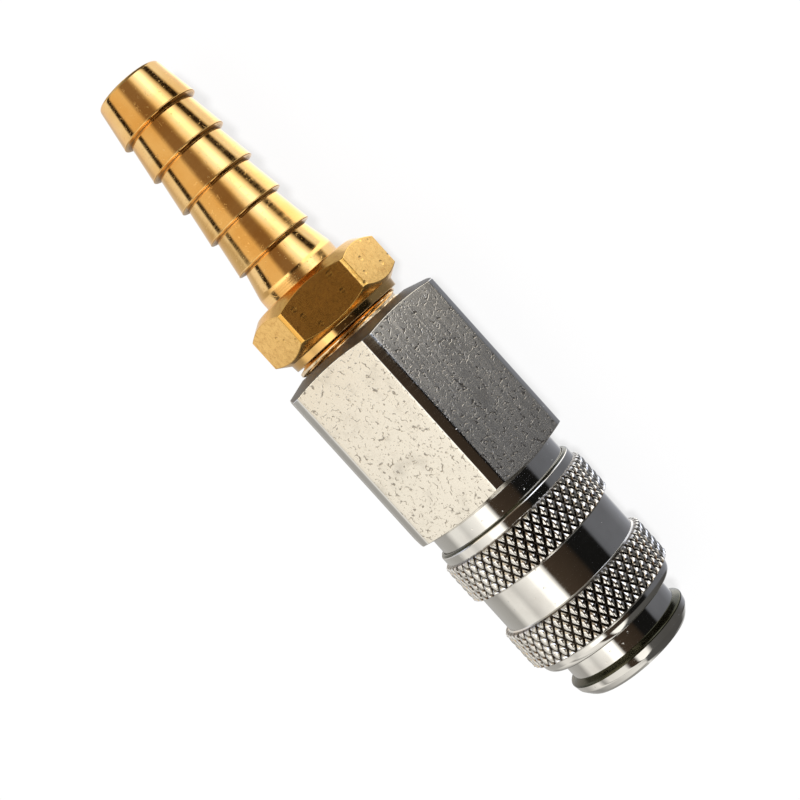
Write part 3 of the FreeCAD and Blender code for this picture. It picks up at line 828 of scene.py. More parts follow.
@dataclass
class HoseTail:
    """The brass hose tail: barbs, spigot, hexagon, collar and thread, as one closed surface."""

    barb_count: int = 5
    barb_pitch: float = 4.15
    barb_radius: float = 4.52
    root_radius: float = 3.86
    round_length: float = 0.16
    round_rise: float = 0.035
    back_length: float = 0.12
    last_to_spigot: float = 3.03
    spigot_radius: float = 4.55
    spigot_length: float = 1.3
    tip_radius: float = 3.775
    tip_edge: float = 0.18
    bore_radius: float = 2.75
    bore_edge: float = 0.35
    hex_flats: float = 14.0
    hex_turn: float = math.radians(90.0 - 25.6)
    hex_corner_radius: float = 7.95
    hex_length: float = 5.55
    hex_rear_face_radius: float = 6.05
    hex_front_face_radius: float = 6.55
    hex_chamfer: float = math.tan(math.radians(33.0))
    collar_radius: float = 6.55
    collar_taper: float = 0.05
    collar_length: float = 0.8
    thread_pitch: float = 1.337
    thread_crest: float = 6.5
    thread_root: float = 5.78
    thread_length: float = 4.7
    thread_flat: float = 0.14
    thread_rounding: float = 0.35
    thread_run_in: float = 0.35
    thread_step: float = 0.06
    rows_per_pitch: int = 30
    screw_length: float = 9.87
    screw_radius: float = 6.15
    screw_edge: float = 0.6
    corner_softness: float = 0.02
    flat_columns: int = 22
    rows_over_crest: int = 7
    crest_cut: float = 0.05
    root_cut: float = 0.04
    hex_margin: float = 0.02
    barb_shade_margins: tuple = (0.05, 0.03)
    thread_margins: tuple = (0.05, 0.1)

    def stations(self) -> dict[str, float]:
        """The places along the axis, from both ends that the frame gives.

        Returns:
            Each place by its name.
        """
        tip = node_box("hose_tail")[0][0]
        end = node_box("hose_tail")[1][0]
        hex_front = end - self.screw_length
        hex_rear = hex_front - self.hex_length
        spigot = hex_rear - self.spigot_length
        return {"tip": tip, "end": end, "hex_front": hex_front, "hex_rear": hex_rear, "spigot": spigot,
                "last_crest": spigot - self.last_to_spigot, "collar_end": hex_front + self.collar_length}

    def add_barbs(self, outline: Outline, last_crest: float) -> None:
        """Draw the barbs.

        Formula: each barb is a cone up to its shoulder, an arc over the crest given by the
        parabola rise (1 - s^2) for s from -1 to 1, and a short back down to the root.

        Args:
            outline: the outline so far.
            last_crest: where the foremost barb ends.
        """
        shoulder = self.barb_radius - self.round_rise
        for index in range(self.barb_count):
            crest = last_crest - self.barb_pitch * (self.barb_count - 1 - index)
            for share in np.linspace(-1.0, 1.0, self.rows_over_crest):
                x = crest - self.round_length / 2 * (1 - share)
                radius = shoulder + self.round_rise * (1 - share ** 2)
                outline.add(x, radius, self.crest_cut if share == 1.0 else 0.0)
            outline.add(crest + self.back_length, self.root_radius, self.root_cut)

    def thread_radius(self, x: np.ndarray, angles: np.ndarray, start: float) -> np.ndarray:
        """The radius of the thread at each place and angle.

        Formula: with s the distance along the pitch, x over the pitch less the angle over a full
        turn, the height is a wave that is held flat near its top and bottom, partly rounded by the
        cubic 3 h^2 - 2 h^3.

        Args:
            x: the places along the axis.
            angles: the angle at each.
            start: where the thread starts.

        Returns:
            The radius at each.
        """
        share = (x - start) / self.thread_pitch - angles / (2 * math.pi)
        wave = 0.5 + 0.5 * np.cos(2 * math.pi * share)
        height = np.clip((wave - self.thread_flat) / (1 - 2 * self.thread_flat), 0.0, 1.0)
        rounded = height * height * (3 - 2 * height)
        height = rounded * self.thread_rounding + height * (1 - self.thread_rounding)
        return self.thread_root + (self.thread_crest - self.thread_root) * height

    def add_thread(self, outline: Outline, angles: np.ndarray, start: float) -> float:
        """Draw the thread, which rises from its root over a short run-in.

        Args:
            outline: the outline so far.
            angles: the angle of each column.
            start: where the thread starts.

        Returns:
            The place of its last row.
        """
        count = int(self.thread_length * self.rows_per_pitch / self.thread_pitch)
        step = self.thread_pitch / self.rows_per_pitch
        places = start + self.thread_step + np.arange(1, count) * step
        for x in places:
            blend = min(1.0, (x - start) / self.thread_run_in)
            radius = self.thread_radius(np.full(len(angles), x), angles, start)
            outline.add(x, self.thread_root + (radius - self.thread_root) * blend)
        return places[-1]

    def outline(self, angles: np.ndarray) -> np.ndarray:
        """The closed outline for each column, from the tip along the outside and back by the bore.

        Args:
            angles: the angle of each column.

        Returns:
            The outline, softened.
        """
        at = self.stations()
        tip, end, collar_end = at["tip"], at["end"], at["collar_end"]
        hexagon = hexagon_radius(
            angles, self.hex_turn, self.hex_flats, self.hex_corner_radius, self.corner_softness)
        rear_slope = self.hex_chamfer * (hexagon - self.hex_rear_face_radius)
        front_slope = self.hex_chamfer * (hexagon - self.hex_front_face_radius)
        outline = Outline(len(angles))
        outline.add_all([
            (tip, self.bore_radius + self.bore_edge, 0.08), (tip, self.tip_radius - self.tip_edge, 0.3),
            (tip + self.tip_edge, self.tip_radius, 0.2)])
        self.add_barbs(outline, at["last_crest"])
        outline.add_all([
            (at["spigot"], self.spigot_radius, 0.3), (at["hex_rear"], self.spigot_radius, 0.08),
            (at["hex_rear"], self.hex_rear_face_radius, 0.3),
            (at["hex_rear"] + rear_slope, hexagon, 0.06), (at["hex_front"] - front_slope, hexagon, 0.06),
            (at["hex_front"], self.hex_front_face_radius + 0.02, 0.1),
            (collar_end, self.collar_radius - self.collar_taper, 0.07),
            (collar_end + self.thread_step, self.thread_root)])
        last = self.add_thread(outline, angles, collar_end)
        outline.add_all([
            (last + 0.1, self.screw_radius), (end - self.screw_edge, self.screw_radius, 0.1),
            (end, self.screw_radius - self.screw_edge, 0.1), (end, self.bore_radius, 0.1),
            (tip + self.bore_edge, self.bore_radius, 0.1)])
        return outline.softened()

    def build(self, finishes: Finishes) -> bpy.types.Object:
        """Make and dress the hose tail.

        Args:
            finishes: every finish of the object.

        Returns:
            The finished piece.
        """
        corner_half = math.pi / 6 - math.acos(self.hex_flats / 2 / self.hex_corner_radius)
        angles = hexagon_angles(self.hex_turn, self.flat_columns, corner_half)
        piece = closed_surface("brass_hose_tail", revolve(self.outline(angles), angles), 22.0)
        materials = [finishes.turned_brass, finishes.satin_brass, finishes.painted_barb_shade,
                     finishes.thread_brass_painted_light]
        dress(piece, materials, Body.COUPLER, Slot.BRASS_TAIL, "hose_tail")
        at = self.stations()
        behind, below = self.thread_margins
        # The thread takes the paler brass as painted light.
        paint(piece, finishes.thread_brass_painted_light, lambda x, radius: (
            (x > at["collar_end"] - behind) & (radius > self.thread_root - below)))
        # The back of each barb takes painted shade.
        after, beyond = self.barb_shade_margins
        for index in range(self.barb_count):
            crest = at["last_crest"] - self.barb_pitch * index
            paint(piece, finishes.painted_barb_shade, lambda x, radius: (
                (x > crest + after) & (x < crest + self.back_length + beyond)))
        paint(piece, finishes.satin_brass, lambda x, radius: (
            (x > at["hex_rear"] - self.hex_margin) & (x < at["hex_front"] - self.hex_margin)))
        return piece


@dataclass
class HexBody:
    """The plated hexagon body with its turned corners, chamfers, neck and bore."""

    flats: float = 18.0
    corner_radius: float = 10.1
    length: float = 20.26
    rear_face_radius: float = 6.75
    front_face_radius: float = 7.9
    chamfer: float = math.tan(math.radians(16.0))
    neck_radius: float = 7.8
    neck_edge: float = 0.3
    mouth_radius: float = 6.69
    thread_bore_radius: float = 6.62
    thread_depth: float = 11.03
    passage_radius: float = 3.6
    passage_length: float = 2.0
    chamber_radius: float = 4.6
    tube_thread_radius: float = 6.0
    tube_thread_depth: float = 8.5
    corner_softness: float = 0.03
    cut: float = 0.06
    flat_columns: int = 26
    rows_along: int = 12
    first_row: float = 0.08
    chamfer_margin: float = 0.03
    corner_margin: float = 0.03
    neck_margin: float = 0.01

    def outline(self, angles: np.ndarray) -> np.ndarray:
        """The closed outline for each column, along the outside and back through the bore.

        Args:
            angles: the angle of each column.

        Returns:
            The outline, softened.
        """
        low, high = node_box("hex_body")
        rear, neck_end = low[0], high[0]
        front = rear + self.length
        hexagon = hexagon_radius(angles, UP, self.flats, self.corner_radius, self.corner_softness)
        hex_rear = rear + self.chamfer * (hexagon - self.rear_face_radius)
        hex_front = front - self.chamfer * (hexagon - self.front_face_radius)
        thread_end = rear + self.thread_depth
        chamber = thread_end + self.passage_length
        seat = neck_end - self.tube_thread_depth
        outline = Outline(len(angles))
        outline.add_all([(rear, self.mouth_radius, 0.02), (rear, self.rear_face_radius, 0.03),
                         (hex_rear, hexagon, 0.08)])
        for share in np.linspace(self.first_row, 1 - self.first_row, self.rows_along):
            outline.add((1 - share) * hex_rear + share * hex_front, hexagon)
        outline.add_all([(hex_front, hexagon, 0.06), (front, self.front_face_radius, 0.05),
                         (front, self.neck_radius, 0.05)])
        outline.add_all((x, radius, self.cut) for x, radius in (
            (neck_end - self.neck_edge, self.neck_radius), (neck_end, self.neck_radius - self.neck_edge),
            (neck_end, self.tube_thread_radius), (seat, self.tube_thread_radius),
            (seat, self.chamber_radius), (chamber, self.chamber_radius),
            (chamber, self.passage_radius), (thread_end, self.passage_radius),
            (thread_end, self.thread_bore_radius),
            (rear + self.mouth_radius - self.thread_bore_radius, self.thread_bore_radius)))
        return outline.softened()

    def build(self, finishes: Finishes) -> bpy.types.Object:
        """Make and dress the hexagon body.

        Args:
            finishes: every finish of the object.

        Returns:
            The finished piece.
        """
        corner_half = math.pi / 6 - math.acos(self.flats / 2 / self.corner_radius)
        angles = hexagon_angles(UP, self.flat_columns, corner_half)
        piece = closed_surface("plated_hexagon_body", revolve(self.outline(angles), angles), 18.0)
        dress(piece, [finishes.pitted_nickel, finishes.mirror_nickel, finishes.painted_rear_end_shade], Body.COUPLER,
              Slot.PLATED_HEXAGON, "hex_body")
        rear = node_box("hex_body")[0][0]
        front = rear + self.length
        paint(piece, finishes.mirror_nickel, lambda x, radius: (
            (x > front + self.neck_margin) | (radius > self.corner_radius - self.corner_margin)))
        # The rear face and chamfer take painted shade.
        paint(piece, finishes.painted_rear_end_shade, lambda x, radius: (
            x < rear + self.chamfer * (radius - self.rear_face_radius) + self.chamfer_margin))
        return piece


@dataclass
class SocketTube:
    """The front tube: nose, rim and land outside, plug bore, seal groove and valve seat inside.

    Each end of a ball hole is its distance from the axis and its radius.
    """

    barrel_radius: float = 6.0
    nose_radius: float = 6.45
    shoulder_from_origin: float = 11.0
    nose_rows: tuple = (-6.6, -6.2, -4.4)
    ball_hole_low: tuple = (2.05, 0.96)
    ball_hole_high: tuple = (7.45, 1.90)
    rim_radius: float = 7.15
    rim_cone_length: float = 1.35
    rim_rear: float = 0.35
    rim_crest: float = 0.05
    rim_bevel_length: float = 0.95
    rim_bevel_fall: float = 0.17
    oiled_rear: float = 0.40
    oiled_front: float = 0.42
    land_length: float = 0.3
    end_chamfer: float = 0.3
    end_face_radius: float = 6.15
    mouth_chamfer: float = 0.4
    guide_radius: float = 4.5
    guide_length: float = 7.2
    plug_radius: float = 4.1
    socket_depth: float = 17.0
    groove_radius: float = 5.2
    groove_width: float = 1.6
    groove_from_end: float = 2.6
    seat_radius: float = 3.1
    seat_length: float = 1.2
    chamber_radius: float = 4.5
    ball_place: float = -9.0
    ball_count: int = 4
    columns: int = 224
    hole_columns: int = 32

    def ends(self) -> tuple[float, float]:
        """The places of the rear end and of the mouth."""
        low, high = node_box("socket_body")
        return low[0], high[0]

    def rim_place(self, mouth: float) -> float:
        """The place of the rim's crest."""
        return mouth - self.end_chamfer - self.land_length - self.rim_cone_length

    def outline(self) -> np.ndarray:
        """The closed outline, along the outside from the rear and back through the bore.

        Returns:
            The outline, softened.
        """
        rear, mouth = self.ends()
        rim = self.rim_place(mouth)
        groove_rear = -self.socket_depth + self.groove_from_end
        groove_front = groove_rear + self.groove_width
        seat = -self.socket_depth - self.seat_length
        outline = Outline()
        outline.add_all([
            (rear, self.barrel_radius, 0.05), (-self.shoulder_from_origin, self.barrel_radius, 0.04),
            (-self.shoulder_from_origin, self.nose_radius, 0.05)])
        outline.add_all((x, self.nose_radius) for x in self.nose_rows)
        outline.add_all([
            (rim - self.rim_rear, self.nose_radius, 0.05), (rim + self.rim_crest, self.rim_radius, 0.16),
            (rim + self.rim_bevel_length, self.rim_radius - self.rim_bevel_fall, 0.12),
            (mouth - self.end_chamfer, self.nose_radius, 0.06), (mouth, self.end_face_radius, 0.07),
            (mouth, self.guide_radius + self.mouth_chamfer, 0.06), (0.0, self.guide_radius, 0.05)])
        outline.add_all((x, radius, 0.04) for x, radius in (
            (-self.guide_length, self.guide_radius), (-self.guide_length, self.plug_radius),
            (groove_front, self.plug_radius), (groove_front, self.groove_radius),
            (groove_rear, self.groove_radius), (groove_rear, self.plug_radius),
            (-self.socket_depth, self.plug_radius), (-self.socket_depth, self.seat_radius),
            (seat, self.seat_radius), (seat - (self.chamber_radius - self.seat_radius), self.chamber_radius),
            (rear, self.chamber_radius)))
        return outline.softened()

    def hole_cutter(self, angle: float) -> bpy.types.Object:
        """A cone that cuts one ball hole.

        Args:
            angle: the hole's angle about the axis.

        Returns:
            The cone, closed by a point at each end.
        """
        low, high = self.ball_hole_low, self.ball_hole_high
        around = np.linspace(0.0, 2 * math.pi, self.hole_columns, endpoint=False)
        grid = np.array([
            np.stack([self.ball_place + radius * np.cos(around), radius * np.sin(around),
                      np.full(self.hole_columns, height)], -1)
            for height, radius in ((low[0], POINT), low, high, (high[0], POINT))])
        turned = grid.copy()
        turned[..., 1] = grid[..., 2] * math.cos(angle) - grid[..., 1] * math.sin(angle)
        turned[..., 2] = grid[..., 2] * math.sin(angle) + grid[..., 1] * math.cos(angle)
        return closed_surface("hole_cutter", turned)

    def build(self, finishes: Finishes) -> bpy.types.Object:
        """Make and dress the tube, with its four ball holes cut through the wall.

        Args:
            finishes: every finish of the object.

        Returns:
            The finished piece.
        """
        angles = np.linspace(0.0, 2 * math.pi, self.columns, endpoint=False)
        piece = closed_surface("plated_socket_tube", revolve(self.outline(), angles))
        for number in range(self.ball_count):
            cutter = self.hole_cutter(2 * math.pi * (number + 0.5) / self.ball_count)
            cut = piece.modifiers.new("ball_hole", "BOOLEAN")
            cut.object = cutter
            cut.operation = "DIFFERENCE"
            cut.solver = "EXACT"
            bpy.context.view_layer.update()
            graph = bpy.context.evaluated_depsgraph_get()
            finished = bpy.data.meshes.new_from_object(piece.evaluated_get(graph))
            piece.modifiers.clear()
            piece.data = finished
            bpy.data.objects.remove(cutter)
        piece.data.name = "plated_socket_tube"
        dress(piece, [finishes.mirror_nickel, finishes.dark_ring_and_gap_shade], Body.COUPLER, Slot.BRIGHT_PLATE,
              "socket_body")
        rim = self.rim_place(self.ends()[1])
        paint(piece, finishes.dark_ring_and_gap_shade, lambda x, radius: (
            (x > rim - self.oiled_rear) & (x < rim + self.oiled_front) & (radius > self.barrel_radius)))
        return piece


@dataclass
class KnurledSleeve:
    """The release sleeve with its two diamond-knurled bands.

    The dome gives the height of a diamond from its middle to its groove, as shares of both, and the
    bands are where the two start, from the sleeve's rear.
    """

    waist_radius: float = 8.1
    rear_radius: float = 8.3
    rear_edge_radius: float = 8.1
    rear_edge_length: float = 0.25
    front_edge: float = 0.8
    front_rise: float = 0.55
    neck_guide_radius: float = 7.85
    neck_guide_length: float = 4.44
    room_radius: float = 7.35
    ring_front: float = -11.0
    ring_length: float = 1.0
    ring_radius: float = 6.05
    nose_guide_radius: float = 6.5
    land_front: float = -8.7
    recess_radius: float = 7.0
    lip_length: float = 1.2
    knurl_radius: float = 8.8
    knurl_depth: float = 0.42
    knurl_count: int = 51
    half_rows: int = 5
    steps: int = 6
    dome: tuple = (
        (0.0, 1 / 6, 2 / 6, 3 / 6, 4 / 6, 5 / 6, 1.0),
        (1.0, 0.985, 0.945, 0.88, 0.79, 0.45, 0.0))
    band_length: float = 4.42
    end_slope: float = 0.06
    end_chamfer: float = 0.26
    end_lift: float = 0.12
    end_reach: float = 1.3
    wall_foot: float = 0.02
    wall_reach: float = 0.12
    wall_drop: float = 0.1
    bands: tuple = (1.24, 10.15)
    front_rows: int = 8
    gap_shade_length: float = 0.2
    band_margins: tuple = (0.02, 0.03)

    def knurl_radii(self, row: np.ndarray, column: np.ndarray) -> np.ndarray:
        """The radius of the knurl at lattice places.

        Formula: with u and v the distances from the nearest diamond's middle towards the two
        families of grooves, 1 at the groove, the height is f(u) f(v), where f is a shallow dome
        with a narrow groove beside it.

        Args:
            row: the lattice's places along the axis.
            column: its places around the axis.

        Returns:
            (rows, columns) of radius.
        """
        along, around = np.meshgrid(row, column, indexing="ij")
        total = (along + around - 1) / 2
        other = (along - around - 1) / 2
        first = np.abs((total + 0.5) % 1.0 - 0.5) * 2
        second = np.abs((other + 0.5) % 1.0 - 0.5) * 2
        height = np.interp(first, *self.dome) * np.interp(second, *self.dome)
        return self.knurl_radius - self.knurl_depth * (1.0 - height)

    def band_rows(self, start: float) -> tuple[np.ndarray, np.ndarray, np.ndarray]:
        """The places, radii and lattice rows of one band.

        Formula: the lattice radius is capped by a chamfer that rises at each end of the band.

        Args:
            start: where the band starts.

        Returns:
            The place of each row, its radius in each column, and its place in the lattice.
        """
        usable = self.band_length - 2 * self.end_slope
        count = self.half_rows * self.steps
        lattice = np.linspace(0.0, self.half_rows, count + 1)
        columns = np.arange(2 * self.knurl_count * self.steps) / self.steps
        x = start + self.end_slope + usable * lattice / self.half_rows
        radii = self.knurl_radii(lattice, columns)
        from_end = np.minimum(x - start, start + self.band_length - x)
        root = self.knurl_radius - self.knurl_depth
        rise = np.clip(from_end / self.end_chamfer, 0.0, self.end_reach)
        cap = root + self.end_lift + (self.knurl_radius - root) * rise
        radii = np.minimum(radii, cap[:, None])
        return x, radii, lattice

    def build(self, finishes: Finishes) -> bpy.types.Object:
        """Make and dress the sleeve.

        Args:
            finishes: every finish of the object.

        Returns:
            The finished piece.
        """
        low, high = node_box("knurled_sleeve")
        rear, front = low[0], high[0]
        columns = 2 * self.knurl_count * self.steps
        angles = np.arange(columns) * math.pi / (self.knurl_count * self.steps)
        outline = Outline(columns)
        outline.add_all([
            (rear, self.neck_guide_radius, 0.05), (rear, self.rear_edge_radius, 0.04),
            (rear + self.rear_edge_length, self.rear_radius, 0.08)])
        foot = self.knurl_radius - self.knurl_depth - self.wall_drop
        for offset, before in zip(self.bands, (self.rear_radius, self.waist_radius)):
            start = rear + offset
            stop = start + self.band_length
            outline.add(start - self.wall_reach, before, 0.03)
            outline.add(start - self.wall_foot, foot, 0.03)
            outline.add_all((x, radii, 0.0, row) for x, radii, row in zip(*self.band_rows(start)))
            outline.add(stop + self.wall_foot, foot, 0.03)
            outline.add(stop + self.wall_reach, self.waist_radius, 0.05)
        for turn in np.linspace(0.0, 1.0, self.front_rows) * math.pi / 2:
            outline.add(front - self.front_edge + self.front_edge * math.sin(turn),
                        self.waist_radius - self.front_rise * (1 - math.cos(turn)))
        ring_rear = self.ring_front - self.ring_length
        outline.add_all([
            (front, self.nose_guide_radius, 0.08), (front - self.lip_length, self.nose_guide_radius),
            (front - self.lip_length, self.recess_radius),
            (self.land_front + self.recess_radius - self.nose_guide_radius, self.recess_radius),
            (self.land_front, self.nose_guide_radius), (self.ring_front, self.nose_guide_radius),
            (self.ring_front, self.ring_radius), (ring_rear, self.ring_radius), (ring_rear, self.room_radius),
            (rear + self.neck_guide_length, self.room_radius),
            (rear + self.neck_guide_length, self.neck_guide_radius)])
        cell_row = np.floor(outline.softened_marks() + 1e-6).astype(int)
        cell_column = np.arange(columns) // self.steps
        rising = (cell_row[:, None] + cell_column[None, :]) % 2 == 0
        piece = closed_surface("nickel_knurled_sleeve", revolve(outline.softened(), angles), 24.0, rising)
        dress(piece, [finishes.mirror_nickel, finishes.knurled_nickel, finishes.dark_ring_and_gap_shade], Body.SLEEVE,
              Slot.KNURLED_PLATE, "knurled_sleeve")
        # The sleeve's rear edge takes painted shade, for the gap beside it.
        paint(piece, finishes.dark_ring_and_gap_shade,
              lambda x, radius: (x < rear + self.gap_shade_length) & (radius > self.neck_guide_radius))
        starts = [rear + offset for offset in self.bands]
        above, beyond = self.band_margins
        paint(piece, finishes.knurled_nickel, lambda x, radius: (radius > self.waist_radius + above) & np.any(
            [(x > start - beyond) & (x < start + self.band_length + beyond) for start in starts], axis=0))
        return piece


@dataclass
class CoilSpring:
    """A coil spring of round wire."""

    name: str
    node: str
    body: Body
    joint: str
    wire: float
    mean_radius: float
    turns: float
    keep: float
    fixed_at_rear: bool
    sides: int = 12
    steps_per_turn: int = 40

    def build(self, finishes: Finishes) -> bpy.types.Object:
        """Make and dress the spring.

        Formula: the wire's section, a circle in the plane through the axis, is carried along the
        helix x = a + b t, y = R cos(2 pi n t), z = R sin(2 pi n t), and both ends are closed.

        Args:
            finishes: every finish of the object.

        Returns:
            The finished piece.
        """
        low, high = node_box(self.node)
        count = int(self.turns * self.steps_per_turn)
        share = np.linspace(0.0, 1.0, count + 1)
        around = np.linspace(0.0, 2 * math.pi, self.sides, endpoint=False)
        size = np.full(count + 3, self.wire / 2)
        size[0] = size[-1] = POINT
        share = np.concatenate([[0.0], share, [1.0]])
        turn = 2 * math.pi * self.turns * share
        centre = low[0] + self.wire / 2 + (high[0] - low[0] - self.wire) * share
        radius = self.mean_radius + size[:, None] * np.cos(around)
        points = np.stack([centre[:, None] + size[:, None] * np.sin(around),
                           radius * np.cos(turn)[:, None], radius * np.sin(turn)[:, None]], -1)
        rows, columns = points.shape[:2]
        triangles = grid_triangles(rows, columns, np.ones((rows, columns), dtype=bool))
        joined = (triangles < columns).any(axis=1) & (triangles >= (rows - 1) * columns).any(axis=1)
        triangles = triangles[~joined]
        piece = make_object(self.name, points.reshape(-1, 3), triangles, 50.0)
        dress(piece, [finishes.spring_wire], self.body, Slot.SPRING_WIRE, self.node)
        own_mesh(piece)
        return piece


class InnerPieces:
    """The small pieces inside that keep the frame's own solids."""

    def __init__(self, finishes: Finishes) -> None:
        """Choose the finish of each node that stays.

        Args:
            finishes: every finish of the object.
        """
        self.table = {
            "body_gasket": finishes.seal_rubber, "plug_seal": finishes.seal_rubber,
            "poppet_seal": finishes.seal_rubber, "valve_poppet": finishes.valve_brass,
            "spring_seat": finishes.valve_brass}
        for number in range(1, 5):
            self.table["locking_ball_%d" % number] = finishes.ball_steel

    def build(self) -> None:
        """Dress each node."""
        for node, material in self.table.items():
            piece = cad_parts[node]
            piece.data.materials.clear()
            piece.data.materials.append(material)
            LOG.info("%s keeps its solid", node)


# Studio


@dataclass
class ViewBasis:
    """Directions tied to the camera's side of the object.

    The coupling lies on a flat, and the camera looks down on it from the +Y side.
    """

    elevation: float = math.radians(64.4)

    @property
    def towards_camera(self) -> Vector:
        """From the axis to the camera, square to the axis."""
        return Vector((0.0, math.cos(self.elevation), math.sin(self.elevation)))

    @property
    def across(self) -> Vector:
        """Square to the axis and to the camera's direction."""
        return Vector((0.0, math.sin(self.elevation), -math.cos(self.elevation)))


@dataclass
class PhotoCamera:
    """The camera at the photograph's viewing angle."""

    foot_x: float = -0.0412
    distance: float = 0.14864
    aim_x: float = -0.03426
    aim_across: float = -0.000866
    roll: float = math.radians(47.93)
    lens: float = 67.5
    sensor_width: float = 36.0
    nearest: float = 0.005
    farthest: float = 20.0

    def build(self, basis: ViewBasis) -> bpy.types.Object:
        """Create the camera and make it the scene's own.

        Args:
            basis: the directions of the camera's side.

        Returns:
            The camera.
        """
        place = Vector((self.foot_x, 0.0, 0.0)) + basis.towards_camera * self.distance
        aim = Vector((self.aim_x, 0.0, 0.0)) + basis.across * self.aim_across
        forward = (aim - place).normalized()
        level_up = (basis.across - forward * basis.across.dot(forward)).normalized()
        level_right = forward.cross(level_up)
        up = level_up * math.cos(self.roll) - level_right * math.sin(self.roll)
        right = forward.cross(up)
        data = bpy.data.cameras.new("photo_camera")
        data.lens = self.lens
        data.sensor_width = self.sensor_width
        data.clip_start = self.nearest
        data.clip_end = self.farthest
        camera = bpy.data.objects.new("photo_camera", data)
        camera.matrix_world = Matrix.Translation(place) @ Matrix((right, up, -forward)).transposed().to_4x4()
        bpy.context.scene.collection.objects.link(camera)
        bpy.context.scene.camera = camera
        return camera


class Studio:
    """The floor and the soft studio light around the object.

    The light lies in bands about the object's axis. A stop is an angle about the axis, 0 towards the
    camera and rising to the camera's upper right, with a level and a tint. A zone says between which
    two parts along the axis, from -1 to 1, its stops take over from the ones before.
    """

    floor_size = 3.0
    object_middle_x = -0.037
    paper: Colour = (0.13, 0.13, 0.132)
    paper_glow = 0.775
    sun_energy = 4.0
    sun_angle = 7.0
    sun_lean = 19.5
    sun_drift = -0.05
    cool: Colour = (0.95, 0.99, 1.12)
    white: Colour = (1.0, 0.985, 0.955)
    glare: Colour = (0.98, 1.08, 1.35)
    warm: Colour = (1.0, 0.84, 0.62)
    brown: Colour = (1.0, 0.70, 0.48)
    coupler_stops = (
        (-180.0, 0.45, white), (-150.0, 0.42, white), (-112.0, 0.42, white), (-98.0, 0.95, white),
        (-84.0, 0.95, white), (-74.0, 0.72, white), (-62.0, 0.95, white), (-48.0, 1.15, white),
        (-42.0, 1.6, white), (-25.0, 1.6, white), (-21.0, 0.75, white), (-18.0, 0.06, brown),
        (21.0, 0.035, brown), (28.0, 0.008, white), (60.0, 0.008, white), (65.0, 0.14, cool),
        (76.0, 0.16, cool), (112.0, 0.17, cool), (132.0, 0.24, cool), (152.0, 0.36, cool),
        (180.0, 0.5, white))
    tail_stops = (
        (-180.0, 0.8, warm), (-96.0, 0.85, warm), (-90.0, 0.02, brown), (-80.0, 0.02, brown),
        (-74.0, 0.85, warm), (-35.0, 0.85, warm), (-22.0, 0.25, brown), (6.0, 0.25, brown),
        (13.0, 0.45, warm), (20.0, 1.0, white), (28.0, 1.2, glare), (35.0, 1.5, glare),
        (41.0, 2.0, glare), (50.0, 2.0, glare), (58.0, 1.4, glare), (70.0, 0.6, white),
        (75.0, 0.02, brown), (89.0, 0.02, brown), (94.0, 0.65, white), (100.0, 1.0, glare),
        (180.0, 1.0, glare))
    knurl_stops = (
        (-180.0, 0.8, white), (-100.0, 1.3, white), (-60.0, 1.6, white), (-20.0, 1.8, white),
        (-12.0, 0.05, brown), (18.0, 0.05, brown), (30.0, 1.8, white), (150.0, 1.8, white),
        (180.0, 0.5, white))
    rear_stops = (
        (-180.0, 0.5, white), (-120.0, 0.8, white), (-60.0, 0.8, white), (-20.0, 0.3, white),
        (60.0, 0.12, white), (140.0, 0.12, white), (180.0, 0.5, white))
    front_stops = (
        (-180.0, 0.5, white), (-150.0, 0.9, white), (-100.0, 1.0, white), (-88.0, 0.35, white),
        (-76.0, 0.9, white), (-36.0, 1.0, white), (-29.0, 0.05, brown), (-14.0, 0.05, brown),
        (-8.0, 1.3, white), (12.0, 1.3, white), (22.0, 0.10, white), (150.0, 0.08, white),
        (180.0, 0.3, white))

    zones = (
        (-0.68, -0.62, tail_stops), (-0.33, -0.28, knurl_stops), (-0.11, -0.07, tail_stops),
        (-0.0125, -0.0095, coupler_stops), (0.36, 0.46, front_stops))

    def __init__(self, basis: ViewBasis) -> None:
        """Keep the directions that the light is laid out by."""
        self.basis = basis

    def angle_ramp(self, nodes: NodeTree, angle: Socket, stops: tuple) -> Socket:
        """Light for each angle about the object's axis.

        Args:
            nodes: the world's nodes.
            angle: the angle as a share of the turn from -180 to 180 degrees.
            stops: an angle in degrees, a level and a tint for each stop, in rising order.

        Returns:
            The light's colour.
        """
        ramp = nodes.node("ShaderNodeValToRGB")
        elements = ramp.color_ramp.elements
        ends = {stops[0][0]: elements[0], stops[-1][0]: elements[1]}
        for degrees, level, tint in stops:
            element = ends.get(degrees) or elements.new((degrees + 180.0) / 360.0)
            element.color = (*(level * channel for channel in tint), 1.0)
        nodes.put(angle, ramp.inputs["Fac"])
        return ramp.outputs["Color"]

    def build_world(self) -> None:
        """Soft boxes and dark stretches around the axis, and plain white behind for the camera.

        Formula: the angle of a direction is the arc tangent of its part across over its part
        towards the camera, and its part along the axis picks the zone.
        """
        world = bpy.data.worlds.new("studio")
        bpy.context.scene.world = world
        world.use_nodes = True
        nodes = NodeTree(world.node_tree)
        direction = nodes.node("ShaderNodeTexCoord").outputs["Generated"]
        across = nodes.dot(direction, self.basis.across)
        towards = nodes.dot(direction, self.basis.towards_camera)
        along = nodes.dot(direction, Vector((1.0, 0.0, 0.0)))
        angle = nodes.maths("ARCTAN2", across, towards)
        share = nodes.maths("ADD", nodes.maths("DIVIDE", angle, 2 * math.pi), 0.5)
        light = self.angle_ramp(nodes, share, self.rear_stops)
        for low, high, stops in self.zones:
            light = nodes.mix(nodes.ramp(along, low, high), light, self.angle_ramp(nodes, share, stops))
        seen = nodes.node("ShaderNodeLightPath").outputs["Is Camera Ray"]
        nodes.feed(nodes.tree.nodes["Background"], Color=nodes.mix(seen, light, PLAIN_WHITE), Strength=1.0)

